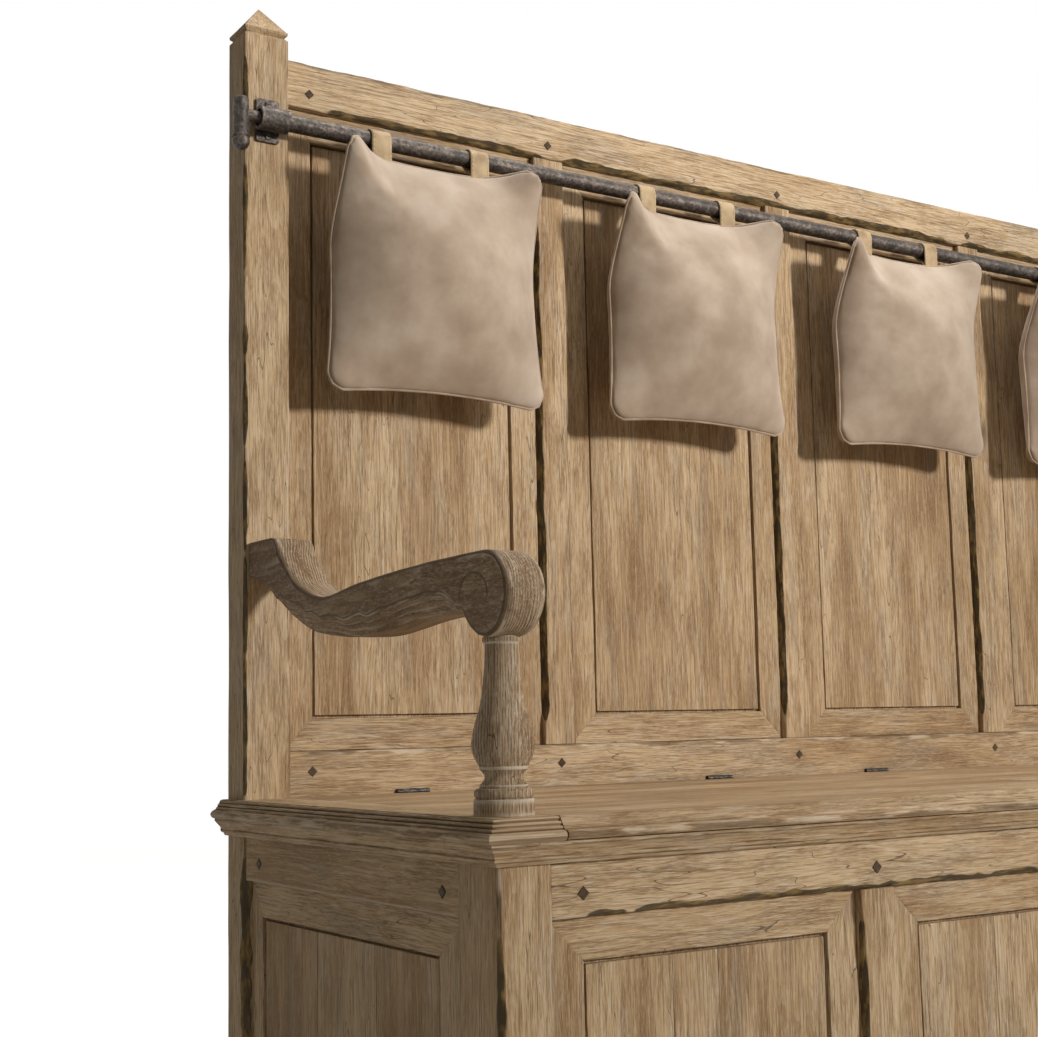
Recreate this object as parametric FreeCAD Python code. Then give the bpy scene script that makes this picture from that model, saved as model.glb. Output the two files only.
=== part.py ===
# A panelled oak settle bench with lift-up seat lids and pillows hung from an iron rod.
# Millimetres. X runs along the bench, Y to the back, Z up. The origin is on the floor,
# in the middle of the bench's width and of its depth from the seat's front edge to the posts' backs.
import FreeCAD
import Part
import math
import os

V = FreeCAD.Vector
X_AXIS = V(1, 0, 0)
Y_AXIS = V(0, 1, 0)
Z_AXIS = V(0, 0, 1)

# Driving sizes of the whole bench
bench_width = 1816.0          # over the outer faces of the posts
carcass_depth = 625.0         # front posts' faces to rear posts' backs
seat_height = 470.0           # floor to the top of the lids
back_height = 950.0           # top of the lids to the top of the back
seat_overhang = 23.0          # the seat's edge stands out this far in front and at each side
panel_count = 4               # panels in the back and in the front

# Posts
rear_post_width = 61.0
rear_post_depth = 51.0
front_post_width = 58.0
front_post_depth = 72.0
neck_drop = 21.0              # top of the back to the middle of the groove, upwards
neck_half = 3.5               # half the groove's height
neck_depth = 4.0
cap_band = 3.0                # upright band between the groove and the pyramid
cap_pyramid = 36.0
post_chamfer = 1.5

# Back frame
back_recess = 14.0            # rails and dividers behind the posts' front faces
rail_thickness = 28.0
top_rail_height = 63.0
bottom_rail_show = 56.0       # seen above the lids
bottom_rail_below = 30.0      # hidden below the lids' tops
divider_width = 50.0

# Chest frame
chest_recess = 2.0            # chest rails behind the posts' outer faces
chest_rail_height = 72.5
low_rail_height = 70.0
floor_gap = 60.0              # floor to the low rails
frame_thickness = 28.0

# Joinery
tenon_thickness = 10.0
tenon_length = 28.0
tenon_shoulder = 8.0
joint_play = 0.1
groove_depth = 8.0
groove_play = 0.2
edge_play = 1.5               # room for a panel to move in its groove

# Panels and the mitred frames round them
strip_width = 41.0
side_strip_front = 56.0       # the side frames' uprights beside the front posts
side_strip_rear = 31.0        # and beside the rear posts
strip_step = 9.0              # a frame's face behind its rails' faces
panel_gap = 3.5
panel_inset = 2.0             # a panel's face behind its frame's face
tongue_thickness = 4.0
strip_thickness = 8.0

# Pegs
peg_side = 9.0
peg_proud = 1.0
peg_length = 22.0
end_peg_inset = 36.0          # from a post's edge to the nearest peg in the rail
top_peg_drop = 42.0           # top of the back down to its pegs
bottom_peg_rise = 31.0        # top of the lids up to the pegs of the bottom rail
chest_peg_drop = 73.0         # top of the lids down to the pegs of the chest rails
side_peg_front = 32.0         # from the front post's inner face
side_peg_rear = 39.0          # from the rear post's inner face

# Seat
lid_thickness = 22.5
lid_lift = 2.5                # finger gap cut under a lid's front edge
lid_lift_reach = 4.0          # this far over the front rail
lid_gap = 2.0                 # between a lid and the fixed end beside it
lid_edge_inset = 62.0         # from a post's outer face to the lid's edge
lid_back_gap = 2.4            # between a lid and the back's bottom rail
reed_count = 3
reed_reach = 8.0              # the seat edge's slope leads outwards by this much
reed_fall = 12.5              # and down by this much, with the reeds on it
reed_swell = 0.9
nose_middle = 17.5            # the round below it is furthest out this far down
nose_back = 3.5               # and turns back by this much underneath
seat_slope_start = 15.0       # its top edge lies this far back from the seat's edge
moulding_height = 21.0
moulding_top = 17.5           # the moulding's reach at its top
moulding_fillet = 3.0
moulding_step = 1.0
moulding_steps_in = 3.0       # steps from the cove's foot in to the lowest slope
cove_reach = 9.0
cove_drop = 13.0
cove_sag = 1.2
bead_height = 4.0
bead_swell = 1.6
moulding_bottom = 4.0
seat_rail_width = 28.0
seat_rail_height = 60.0
seat_rail_tenon = 8.0         # flush with the rail's back
chest_board = 12.0
chest_floor_rise = 12.0       # the floor board's underside above the low rails' undersides

# Hinges
hinge_length = 47.5
hinge_outer_inset = 176.0     # from a lid's outer edge to its outer hinge
hinge_inner_inset = 158.0     # from a lid's inner edge to its inner hinge
hinge_rise = 1.5              # the pin above the lid's top
knuckle_radius = 3.6
knuckle_count = 5
knuckle_gap = 0.3
leaf_thickness = 1.8
leaf_drop = 18.0
pin_radius = 1.5
pin_play = 0.05
pin_seat_play = 0.02
hinge_pocket = 0.4
leaf_lap = 1.0                # how far a knuckle's web laps its leaf

# Arms and their turned supports
arm_width = 50.0
arm_crest = 311.5             # all arm heights are above the lids' tops, and all reaches
arm_flat = 70.0               # are forwards from the rear post's face
arm_brow = 14.0
arm_brow_drop = 21.0
arm_shoulder = (0.75, 0.2)    # the brow's middle, as shares of its reach and drop
arm_brow_slope = -0.35        # the brow's forward run per unit of fall, at its foot
arm_top_points = [(109.0, 269.0), (140.0, 247.0), (205.0, 230.0), (296.0, 238.5), (388.5, 243.5)]
arm_root_under = 269.5
arm_root_length = 52.0
arm_root_drop = 13.5
arm_under_points = [(409.0, 190.5), (295.0, 180.5), (194.0, 188.0), (140.0, 202.0), (100.0, 222.0)]
arm_heel_reach = 507.0
arm_heel = 194.0
arm_cheek = (522.0, 174.5)
knuckle_reach = 546.0         # the middle of the scrolled knuckle
scroll_radius = 41.0
scroll_middle = 206.0
arm_tenon = 24.0
arm_tenon_thickness = 16.0
support_seat = 171.0          # height of the support's top shoulder
support_bore_play = 0.3
spigot_radius = 9.0
spigot_length = 18.0          # into the arm
support_spigot = 40.0         # through the seat end into the front post
foot_radius = 28.6
foot_height = 15.5
torus_neck = 25.5
torus_radius = 28.0
torus_height = 9.5
ring_radius_low = 22.6
ring_height = 3.0
cove_height = 14.5
cove_waist = 18.0
bulb_points = [(27.5, 54.0), (30.0, 65.0), (27.0, 82.0), (21.3, 102.0)]
neck_end = (15.6, 150.0)
ring_radius = 17.0
top_ring_height = 10.0

# Iron rod
rod_radius = 11.0
rod_standoff = 19.0           # rod's axis in front of the posts
rod_drop = 101.0              # from the top of the back down to the rod's axis
rod_play = 0.08
sleeve_radius = 15.0
sleeve_start = 11.0           # from a post's outer face
sleeve_length = 39.0
plate_width = 31.0
plate_height = 56.0
plate_thickness = 4.0
plate_corner = 3.0
plate_rise = 4.0              # plate's middle above the rod's axis
web_height = 16.0
screw_spread = 42.0
screw_radius = 2.0
screw_head_radius = 4.0
screw_head = 2.0
screw_slot = 1.0              # the slot's width
screw_length = 26.0
rod_end_inset = 18.0          # from a post's outer face to the rod's end
stop_neck_radius = 7.5
stop_spigot_radius = 5.0
stop_spigot_length = 20.0
stop_reach = 12.6             # T bar's axis outside a post's outer face
stop_bar_radius = 10.0
stop_bar_up = 21.5
stop_bar_down = 33.0
stop_ball_radius = 11.0
stop_ball_drop = 3.0          # its middle below the bar's end
stop_ring_radius = 11.0
stop_ring_height = 3.0
stop_ring_drop = 27.0
stop_edge = 2.5

# Pillows and tabs
pillow_size = 324.0           # corner to corner
pillow_draw = 12.0            # sides drawn in between the corners
pillow_half = 60.0            # half the thickness at the crown
pillow_edge = 1.5             # half the seam's thickness
pillow_lean = 2.5             # degrees that the bottom hangs forwards of the top
pillow_ear = 46.0             # the corners' ears
pillow_crown = 0.13           # the flat crown's share of the half size
pillow_steps = (0.0, 0.16, 0.36, 0.58, 0.78, 0.92, 1.0)
seam_drop = 25.0              # from the rod's axis down to the tabs' ends
tab_width = 29.0
tab_spread = 150.0
tab_thickness = 2.5
tab_clear = 0.3
tab_slit = 0.6                # half the slit where a tab's two legs come together
tab_stitch = 4.0              # the legs are sewn together for this length

# Places that follow from the sizes above
half_width = bench_width / 2.0
y_back = (carcass_depth + seat_overhang) / 2.0
y_front = y_back - carcass_depth
y_nose = y_front - seat_overhang
y_post = y_back - rear_post_depth
y_rail = y_post + back_recess
y_front_post = y_front + front_post_depth
z_top = seat_height + back_height
z_seat_under = seat_height - lid_thickness
rear_gap = bench_width - 2.0 * rear_post_width
bay = (rear_gap - (panel_count - 1) * divider_width) / panel_count
bay_pitch = bay + divider_width
x_rear_inner = half_width - rear_post_width
x_front_inner = half_width - front_post_width
z_bottom_rail_top = seat_height + bottom_rail_show
z_bottom_rail = seat_height - bottom_rail_below
z_top_rail = z_top - top_rail_height
z_low_rail_top = floor_gap + low_rail_height
z_chest_rail = z_seat_under - chest_rail_height
y_chest_face = y_front + chest_recess
x_side_face = half_width - chest_recess
divider_xs = [-x_rear_inner + bay * (n + 1) + divider_width * (n + 0.5) for n in range(panel_count - 1)]
bay_xs = [-x_rear_inner + bay / 2.0 + bay_pitch * n for n in range(panel_count)]
post_x = half_width - rear_post_width / 2.0
arm_x = post_x
y_support = (y_front + y_front_post) / 2.0
y_lid_back = y_rail - lid_back_gap
y_seat_rail = y_lid_back - seat_rail_width
z_rod = z_top - rod_drop
y_rod = y_post - rod_standoff
plate_x = post_x


def box(x0, x1, y0, y1, z0, z1):
    """A box from its low to its high corner."""
    return Part.makeBox(x1 - x0, y1 - y0, z1 - z0, V(x0, y0, z0))


def prism(points, direction):
    """A solid swept from a closed outline of points."""
    wire = Part.makePolygon([V(*p) for p in points] + [V(*points[0])])
    return Part.Face(wire).extrude(direction)


def cylinder(radius, length, start, direction):
    """A round bar."""
    return Part.makeCylinder(radius, length, start, direction)


def mirrored(shape):
    """The same shape on the other side of the bench's middle."""
    return shape.mirror(V(0, 0, 0), X_AXIS)


def keep_solid(shape):
    """The bare solid of a shape that holds one."""
    return shape.Solids[0] if len(shape.Solids) == 1 else shape


def export(name, shapes):
    """Write one node; a list of solids becomes one compound."""
    solids = [s for shape in shapes for s in shape.Solids]
    shape = solids[0] if len(solids) == 1 else Part.makeCompound(solids)
    shape.exportStep("parts/" + name + ".step")
    print(name, len(solids), round(shape.Volume / 1000.0, 1), shape.isValid())


def drop_edges(solid, size, test):
    """Chamfer the edges that pass a test."""
    edges = [e for e in solid.Edges if test(e)]
    return keep_solid(solid.makeChamfer(size, edges))


def upright(edge):
    """True for a straight vertical edge."""
    if len(edge.Vertexes) != 2:
        return False
    a, b = (v.Point for v in edge.Vertexes)
    return abs(a.x - b.x) < 0.01 and abs(a.y - b.y) < 0.01 and abs(a.z - b.z) > 1.0


# Tenons, as boxes that both the rail and its mortise take their size from
def tenon_box(play, x0, x1, y_mid, z0, z1):
    """A tenon along X, grown by a play for its mortise; its outer end gets the play too."""
    half = tenon_thickness / 2.0 + play
    return box(x0 - play, x1 + play, y_mid - half, y_mid + half, z0 - play, z1 + play)


def side_tenon_box(play, x_mid, y0, y1, z0, z1):
    """The same along Y."""
    half = tenon_thickness / 2.0 + play
    return box(x_mid - half, x_mid + half, y0 - play, y1 + play, z0 - play, z1 + play)


def rail_tenons(x_inner, y_face, thickness, z0, z1, play):
    """The tenons at both ends of a long rail between two posts."""
    y_mid = y_face + thickness / 2.0
    low, high = z0 + tenon_shoulder, z1 - tenon_shoulder
    right = tenon_box(play, x_inner, x_inner + tenon_length, y_mid, low, high)
    return [right, mirrored(right)]


def seat_rail_tenons(play):
    """The bare-faced tenons of the rail that carries the lids' rear edges."""
    half = seat_rail_tenon / 2.0 + play
    y_mid = y_lid_back - seat_rail_tenon / 2.0
    low = z_seat_under - seat_rail_height + tenon_shoulder - play
    high = z_seat_under - tenon_shoulder + play
    right = box(x_rear_inner - play, x_rear_inner + tenon_length + play,
                y_mid - half, y_mid + half, low, high)
    return [right, mirrored(right)]


def side_rail_tenons(z0, z1, play):
    """The tenons at both ends of a right side rail."""
    x_mid = x_side_face - frame_thickness / 2.0
    low, high = z0 + tenon_shoulder, z1 - tenon_shoulder
    reach = tenon_length
    front = side_tenon_box(play, x_mid, y_front_post - reach, y_front_post, low, high)
    rear = side_tenon_box(play, x_mid, y_post, y_post + reach, low, high)
    return [front, rear]


# A field is the hole between rails and uprights that one panel and its frame fill.
# It is drawn flat, facing -Y, and turned for the sides.
def tongue_span():
    """How far a panel's tongue starts and ends behind its rails' faces."""
    start = strip_step + strip_thickness
    return start, start + tongue_thickness


def panel_solid(width, height, left=strip_width, right=strip_width):
    """A panel for a field of this size, with its rails' faces at y = 0 and its middle at x = 0."""
    start, end = tongue_span()
    reach = groove_depth - edge_play
    tongue = box(-width / 2.0 - reach, width / 2.0 + reach, start, end, -reach, height + reach)
    margin = strip_width + panel_gap
    front = strip_step + panel_inset
    field = box(-width / 2.0 + left + panel_gap, width / 2.0 - right - panel_gap, front, start,
                margin, height - margin)
    return keep_solid(tongue.fuse(field).removeSplitter())


def frame_strips(width, height, left=strip_width, right=strip_width):
    """The four mitred strips round a panel, in the same place."""
    y0 = strip_step
    depth = V(0, strip_thickness, 0)
    x0, x3 = -width / 2.0, width / 2.0
    x1, x2 = x0 + left, x3 - right
    z1, z2 = strip_width, height - strip_width
    bottom = [(x0, y0, 0), (x3, y0, 0), (x2, y0, z1), (x1, y0, z1)]
    top = [(x0, y0, height), (x1, y0, z2), (x2, y0, z2), (x3, y0, height)]
    left_upright = [(x0, y0, 0), (x1, y0, z1), (x1, y0, z2), (x0, y0, height)]
    right_upright = [(x3, y0, 0), (x3, y0, height), (x2, y0, z2), (x2, y0, z1)]
    return [prism(points, depth) for points in (bottom, top, left_upright, right_upright)]


def groove_solid(width, height):
    """What the panel's grooves take out of the pieces round a field."""
    start, end = tongue_span()
    reach = groove_depth
    return box(-width / 2.0 - reach, width / 2.0 + reach, start - groove_play, end + groove_play,
               -reach, height + reach)


def place(shape, x, y, z):
    """A moved copy."""
    copy = shape.copy()
    copy.translate(V(x, y, z))
    return copy


def place_side(shape, z):
    """A copy turned to face +X, in the right side's field."""
    copy = shape.copy()
    copy.rotate(V(0, 0, 0), Z_AXIS, 90)
    copy.translate(V(x_side_face, (y_post + y_front_post) / 2.0, z))
    return copy


back_field_height = z_top_rail - z_bottom_rail_top
chest_field_height = z_chest_rail - z_low_rail_top
front_fields = []
for number in range(panel_count):
    left = -x_front_inner if number == 0 else divider_xs[number - 1] + divider_width / 2.0
    right = x_front_inner if number == panel_count - 1 else divider_xs[number] - divider_width / 2.0
    front_fields.append(((left + right) / 2.0, right - left))
side_field_width = y_post - y_front_post

back_grooves = [place(groove_solid(bay, back_field_height), x, y_rail, z_bottom_rail_top) for x in bay_xs]
front_grooves = [place(groove_solid(w, chest_field_height), x, y_chest_face, z_low_rail_top)
                 for x, w in front_fields]
side_groove = place_side(groove_solid(side_field_width, chest_field_height), z_low_rail_top)


# Pegs: square bars set cornerwise, pointing back from a face at y = 0
def peg_bar(proud, length):
    """One peg, centred on its axis."""
    half = peg_side / 2.0
    bar = box(-half, half, -proud, length, -half, half)
    bar.rotate(V(0, 0, 0), Y_AXIS, 45)
    return bar


def peg_places():
    """Every peg in the long rails as x, face y and z."""
    spots = []
    back_xs = divider_xs + [-x_rear_inner + end_peg_inset, x_rear_inner - end_peg_inset]
    front_xs = divider_xs + [-x_front_inner + end_peg_inset, x_front_inner - end_peg_inset]
    low_peg = floor_gap + low_rail_height / 2.0
    for x in back_xs:
        spots.append((x, y_rail, z_top - top_peg_drop))
        spots.append((x, y_rail, seat_height + bottom_peg_rise))
    for x in front_xs:
        spots.append((x, y_chest_face, seat_height - chest_peg_drop))
        spots.append((x, y_chest_face, low_peg))
    return spots


def side_peg_places():
    """Every peg in the right side's rails as y and z."""
    low_peg = floor_gap + low_rail_height / 2.0
    ys = (y_front_post + side_peg_front, y_post - side_peg_rear)
    return [(y, z) for y in ys for z in (seat_height - chest_peg_drop, low_peg)]


def side_peg(y, z, proud, length):
    """A peg turned to point inwards from the right side's face."""
    bar = peg_bar(proud, length)
    bar.rotate(V(0, 0, 0), Z_AXIS, 90)
    bar.translate(V(x_side_face, y, z))
    return bar


pegs = [place(peg_bar(peg_proud, peg_length), x, y, z) for x, y, z in peg_places()]
peg_holes = [place(peg_bar(peg_proud, peg_length), x, y, z) for x, y, z in peg_places()]
right_side_pegs = [side_peg(y, z, peg_proud, peg_length) for y, z in side_peg_places()]


# Hinge places along X, and the pockets they need
lid_outer = half_width - lid_edge_inset
lid_width = lid_outer - lid_gap / 2.0
y_pin = (y_rail + y_lid_back) / 2.0
z_pin = seat_height + hinge_rise
right_hinge_xs = [lid_outer - hinge_outer_inset, lid_gap / 2.0 + hinge_inner_inset]
hinge_xs = right_hinge_xs + [-x for x in right_hinge_xs]


def hinge_pocket_in_rail(x):
    """The pocket for the fixed leaf and the knuckles in the rail's face."""
    half = hinge_length / 2.0 + hinge_pocket
    leaf = box(x - half, x + half, y_rail - leaf_thickness, y_rail + leaf_thickness,
               z_pin - leaf_drop - hinge_pocket, z_pin)
    barrel = cylinder(knuckle_radius + hinge_pocket, 2.0 * half, V(x - half, y_pin, z_pin), X_AXIS)
    return leaf.fuse(barrel)


def hinge_pocket_in_lid(x):
    """The pocket for the moving leaf and the knuckles in the lid's back edge."""
    half = hinge_length / 2.0 + hinge_pocket
    reach = knuckle_radius + hinge_pocket
    leaf = box(x - half, x + half, y_lid_back - leaf_thickness, y_lid_back + leaf_thickness,
               z_pin - leaf_drop - hinge_pocket, z_pin)
    barrel = box(x - half, x + half, y_pin - reach, y_pin + reach, z_pin - reach, z_pin + reach)
    return leaf.fuse(barrel)


def knuckle_span(number):
    """Where one knuckle starts and how long it is, from the hinge's left end."""
    pitch = hinge_length / knuckle_count
    return number * pitch + knuckle_gap / 2.0, pitch - knuckle_gap


def hinge_leaf(x, fixed):
    """One leaf with its knuckles, bored for the pin."""
    x0 = x - hinge_length / 2.0
    if fixed:
        y0 = y_rail
        bore = pin_radius + pin_seat_play
    else:
        y0 = y_lid_back - leaf_thickness
        bore = pin_radius + pin_play
    gap = knuckle_radius + knuckle_gap
    leaf = box(x0, x0 + hinge_length, y0, y0 + leaf_thickness, z_pin - leaf_drop, z_pin - gap)
    solid = leaf
    for number in range(knuckle_count):
        if (number % 2 == 0) != fixed:
            continue
        start, length = knuckle_span(number)
        barrel = cylinder(knuckle_radius, length, V(x0 + start, y_pin, z_pin), X_AXIS)
        y_low, y_high = sorted((y_pin, y0 + leaf_thickness if fixed else y0))
        web = box(x0 + start, x0 + start + length, max(y_low, y0), min(y_high, y0 + leaf_thickness),
                  z_pin - gap - leaf_lap, z_pin)
        solid = solid.fuse([barrel, web])
    hole = cylinder(bore, hinge_length, V(x0, y_pin, z_pin), X_AXIS)
    return keep_solid(solid.cut(hole).removeSplitter())


# Rear posts
def rear_post():
    """The right rear post, with a grooved, pointed top."""
    x0, x1 = half_width - rear_post_width, half_width
    z_neck = z_top + neck_drop
    shaft = box(x0, x1, y_post, y_back, 0, z_neck - neck_half)
    shaft = drop_edges(shaft, post_chamfer, upright)
    y_mid = (y_post + y_back) / 2.0

    def square(z, inset):
        a, b = x0 + inset, x1 - inset
        c, d = y_post + inset, y_back - inset
        return Part.makePolygon([V(a, c, z), V(b, c, z), V(b, d, z), V(a, d, z), V(a, c, z)])

    low_squares = [square(z_neck - neck_half, post_chamfer), square(z_neck, neck_depth)]
    under = Part.makeLoft(low_squares, True, True)
    over = Part.makeLoft([square(z_neck, neck_depth), square(z_neck + neck_half, 0)], True, True)
    band = box(x0, x1, y_post, y_back, z_neck + neck_half, z_neck + neck_half + cap_band)
    z_pyramid = z_neck + neck_half + cap_band
    tip = V(post_x, y_mid, z_pyramid + cap_pyramid)
    ring = [V(x, y, z_pyramid) for x, y in ((x0, y_post), (x1, y_post), (x1, y_back), (x0, y_back))]
    faces = [Part.Face(Part.makePolygon([ring[n], ring[(n + 1) % 4], tip, ring[n]])) for n in range(4)]
    faces.append(Part.Face(Part.makePolygon(ring + [ring[0]])))
    pyramid = Part.Solid(Part.Shell(faces))
    if pyramid.Volume < 0:
        pyramid.reverse()
    post = shaft.fuse([under, over, band, pyramid])
    cuts = []
    cuts += rail_tenons(x_rear_inner, y_rail, rail_thickness, z_top_rail, z_top, joint_play)
    cuts += rail_tenons(x_rear_inner, y_rail, rail_thickness, z_bottom_rail, z_bottom_rail_top, joint_play)
    cuts += seat_rail_tenons(joint_play)
    cuts += [side_rail_tenons(z_chest_rail, z_seat_under, joint_play)[1]]
    cuts += [side_rail_tenons(floor_gap, z_low_rail_top, joint_play)[1]]
    cuts += [back_grooves[-1], side_groove, arm_tenon_box(joint_play)]
    for z in screw_heights():
        cuts.append(cylinder(screw_radius, screw_length, V(plate_x, y_post - plate_thickness, z), Y_AXIS))
    return keep_solid(post.cut(cuts).removeSplitter())


def screw_heights():
    """Heights of the two screws in a rod plate."""
    middle = z_rod + plate_rise
    return [middle - screw_spread / 2.0, middle + screw_spread / 2.0]


# Arms
def arm_tenon_box(play):
    """The arm's tenon into the rear post."""
    half = arm_tenon_thickness / 2.0 + play
    low = seat_height + arm_root_under + tenon_shoulder - play
    high = seat_height + arm_crest - tenon_shoulder + play
    return box(arm_x - half, arm_x + half, y_post - play, y_post + arm_tenon + play, low, high)


def arm_outline():
    """The arm's side view as a closed wire in the plane x = 0."""

    def at(reach, rise):
        return V(0, y_post - reach, seat_height + rise)

    def on_scroll(degrees):
        angle = math.radians(degrees)
        reach = knuckle_reach + scroll_radius * math.sin(angle)
        return at(reach, scroll_middle + scroll_radius * math.cos(angle))

    root_top = at(0, arm_crest)
    crest = at(arm_flat, arm_crest)
    brow = at(arm_flat + arm_brow, arm_crest - arm_brow_drop)
    shoulder = at(arm_flat + arm_shoulder[0] * arm_brow, arm_crest - arm_shoulder[1] * arm_brow_drop)
    heel = at(arm_heel_reach, arm_heel)
    under_root = at(arm_root_length, arm_root_under - arm_root_drop)
    top_curve = Part.BSplineCurve()
    top_curve.interpolate([brow] + [at(*p) for p in arm_top_points] + [on_scroll(0)],
                          InitialTangent=V(0, arm_brow_slope, -1), FinalTangent=V(0, -1, 0))
    under_curve = Part.BSplineCurve()
    under_curve.interpolate([heel] + [at(*p) for p in arm_under_points] + [under_root])
    edges = [
        Part.makeLine(at(0, arm_root_under), root_top),
        Part.makeLine(root_top, crest),
        Part.Arc(crest, shoulder, brow).toShape(),
        top_curve.toShape(),
        Part.Arc(on_scroll(0), on_scroll(45), on_scroll(90)).toShape(),
        Part.Arc(on_scroll(90), on_scroll(135), on_scroll(180)).toShape(),
        Part.Arc(on_scroll(180), at(*arm_cheek), heel).toShape(),
        under_curve.toShape(),
        Part.makeLine(under_root, at(0, arm_root_under)),
    ]
    return Part.Wire(edges)


def arm():
    """The right arm, with its rear tenon and the seat and bore for its support."""
    face = Part.Face(arm_outline())
    solid = face.extrude(V(arm_width, 0, 0))
    solid.translate(V(arm_x - arm_width / 2.0, 0, 0))
    z_seat = seat_height + support_seat
    below = V(arm_x, y_support, z_seat - scroll_radius)
    seat = cylinder(ring_radius + support_bore_play, scroll_radius, below, Z_AXIS)
    bore = cylinder(spigot_radius + joint_play, spigot_length + joint_play,
                    V(arm_x, y_support, z_seat), Z_AXIS)
    solid = solid.fuse(arm_tenon_box(0.0))
    return keep_solid(solid.cut([seat, bore]).removeSplitter())


def support():
    """The right turned support, with a spigot at each end."""

    def at(point):
        return V(arm_x + point[0], y_support, seat_height + point[1])

    def line(a, b):
        return Part.makeLine(at(a), at(b))

    def bow(a, radius, b):
        return Part.Arc(at(a), at((radius, (a[1] + b[1]) / 2.0)), at(b)).toShape()

    bottom, top = -support_spigot, support_seat + spigot_length
    torus_low, torus_high = (torus_neck, foot_height), (torus_neck, foot_height + torus_height)
    ring_low = (ring_radius_low, torus_high[1] + ring_height)
    collar_low = (ring_radius_low, ring_low[1] + cove_height)
    collar_high = (ring_radius_low, collar_low[1] + ring_height)
    ring_top = (ring_radius, support_seat - top_ring_height)
    bulb = Part.BSplineCurve()
    bulb.interpolate([at(collar_high)] + [at(point) for point in bulb_points] + [at(neck_end)])
    outline = [(0.0, bottom), (spigot_radius, bottom), (spigot_radius, 0.0), (foot_radius, 0.0),
               (foot_radius, foot_height), torus_low]
    edges = [line(a, b) for a, b in zip(outline, outline[1:])]
    edges.append(bow(torus_low, torus_radius, torus_high))
    edges.append(line(torus_high, (ring_radius_low, torus_high[1])))
    edges.append(line((ring_radius_low, torus_high[1]), ring_low))
    edges.append(bow(ring_low, cove_waist, collar_low))
    edges.append(line(collar_low, collar_high))
    edges.append(bulb.toShape())
    outline = [neck_end, ring_top, (ring_radius, support_seat), (spigot_radius, support_seat),
               (spigot_radius, top), (0.0, top), (0.0, bottom)]
    edges += [line(a, b) for a, b in zip(outline, outline[1:])]
    face = Part.Face(Part.Wire(edges))
    return keep_solid(face.revolve(V(arm_x, y_support, 0), Z_AXIS, 360))


def support_bore():
    """The bore for the support's lower spigot, through the seat end into the front post."""
    length = support_spigot + joint_play
    return cylinder(spigot_radius + joint_play, length, V(arm_x, y_support, seat_height - length), Z_AXIS)


# Long rails
def long_rail(x_inner, y_face, thickness, z0, z1, cuts):
    """A rail between two posts, with its tenons."""
    rail = box(-x_inner, x_inner, y_face, y_face + thickness, z0, z1)
    rail = rail.fuse(rail_tenons(x_inner, y_face, thickness, z0, z1, 0.0))
    return keep_solid(rail.cut(cuts).removeSplitter())


def divider(x, y_face, thickness, z0, z1, play):
    """An upright between two rails, with a tenon into each."""
    half = divider_width / 2.0 - tenon_shoulder + play
    y_mid = y_face + thickness / 2.0
    half_t = tenon_thickness / 2.0 + play
    tenon = box(x - half, x + half, y_mid - half_t, y_mid + half_t, z0 - tenon_length - play,
                z1 + tenon_length + play)
    if play > 0:
        return tenon
    body = box(x - divider_width / 2.0, x + divider_width / 2.0, y_face, y_face + thickness, z0, z1)
    return body.fuse(tenon)


def back_pieces():
    """The back's rails, dividers, panels and frames."""
    mortises = [divider(x, y_rail, rail_thickness, z_bottom_rail_top, z_top_rail, joint_play)
                for x in divider_xs]
    hinge_cuts = [hinge_pocket_in_rail(x) for x in hinge_xs]
    cuts = back_grooves + peg_holes
    cuts_top = mortises + cuts
    top = long_rail(x_rear_inner, y_rail, rail_thickness, z_top_rail, z_top, cuts_top)
    export("back_top_rail", [top])
    bottom = long_rail(x_rear_inner, y_rail, rail_thickness, z_bottom_rail, z_bottom_rail_top,
                       cuts_top + hinge_cuts)
    export("back_bottom_rail", [bottom])
    for number, x in enumerate(divider_xs):
        piece = divider(x, y_rail, rail_thickness, z_bottom_rail_top, z_top_rail, 0.0)
        export("back_divider_%d" % (number + 1), [keep_solid(piece.cut(cuts).removeSplitter())])
    strips = []
    for number, x in enumerate(bay_xs):
        panel = place(panel_solid(bay, back_field_height), x, y_rail, z_bottom_rail_top)
        export("back_panel_%d" % (number + 1), [panel])
        strips += [place(s, x, y_rail, z_bottom_rail_top) for s in frame_strips(bay, back_field_height)]
    export("back_panel_frames", strips)


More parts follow.
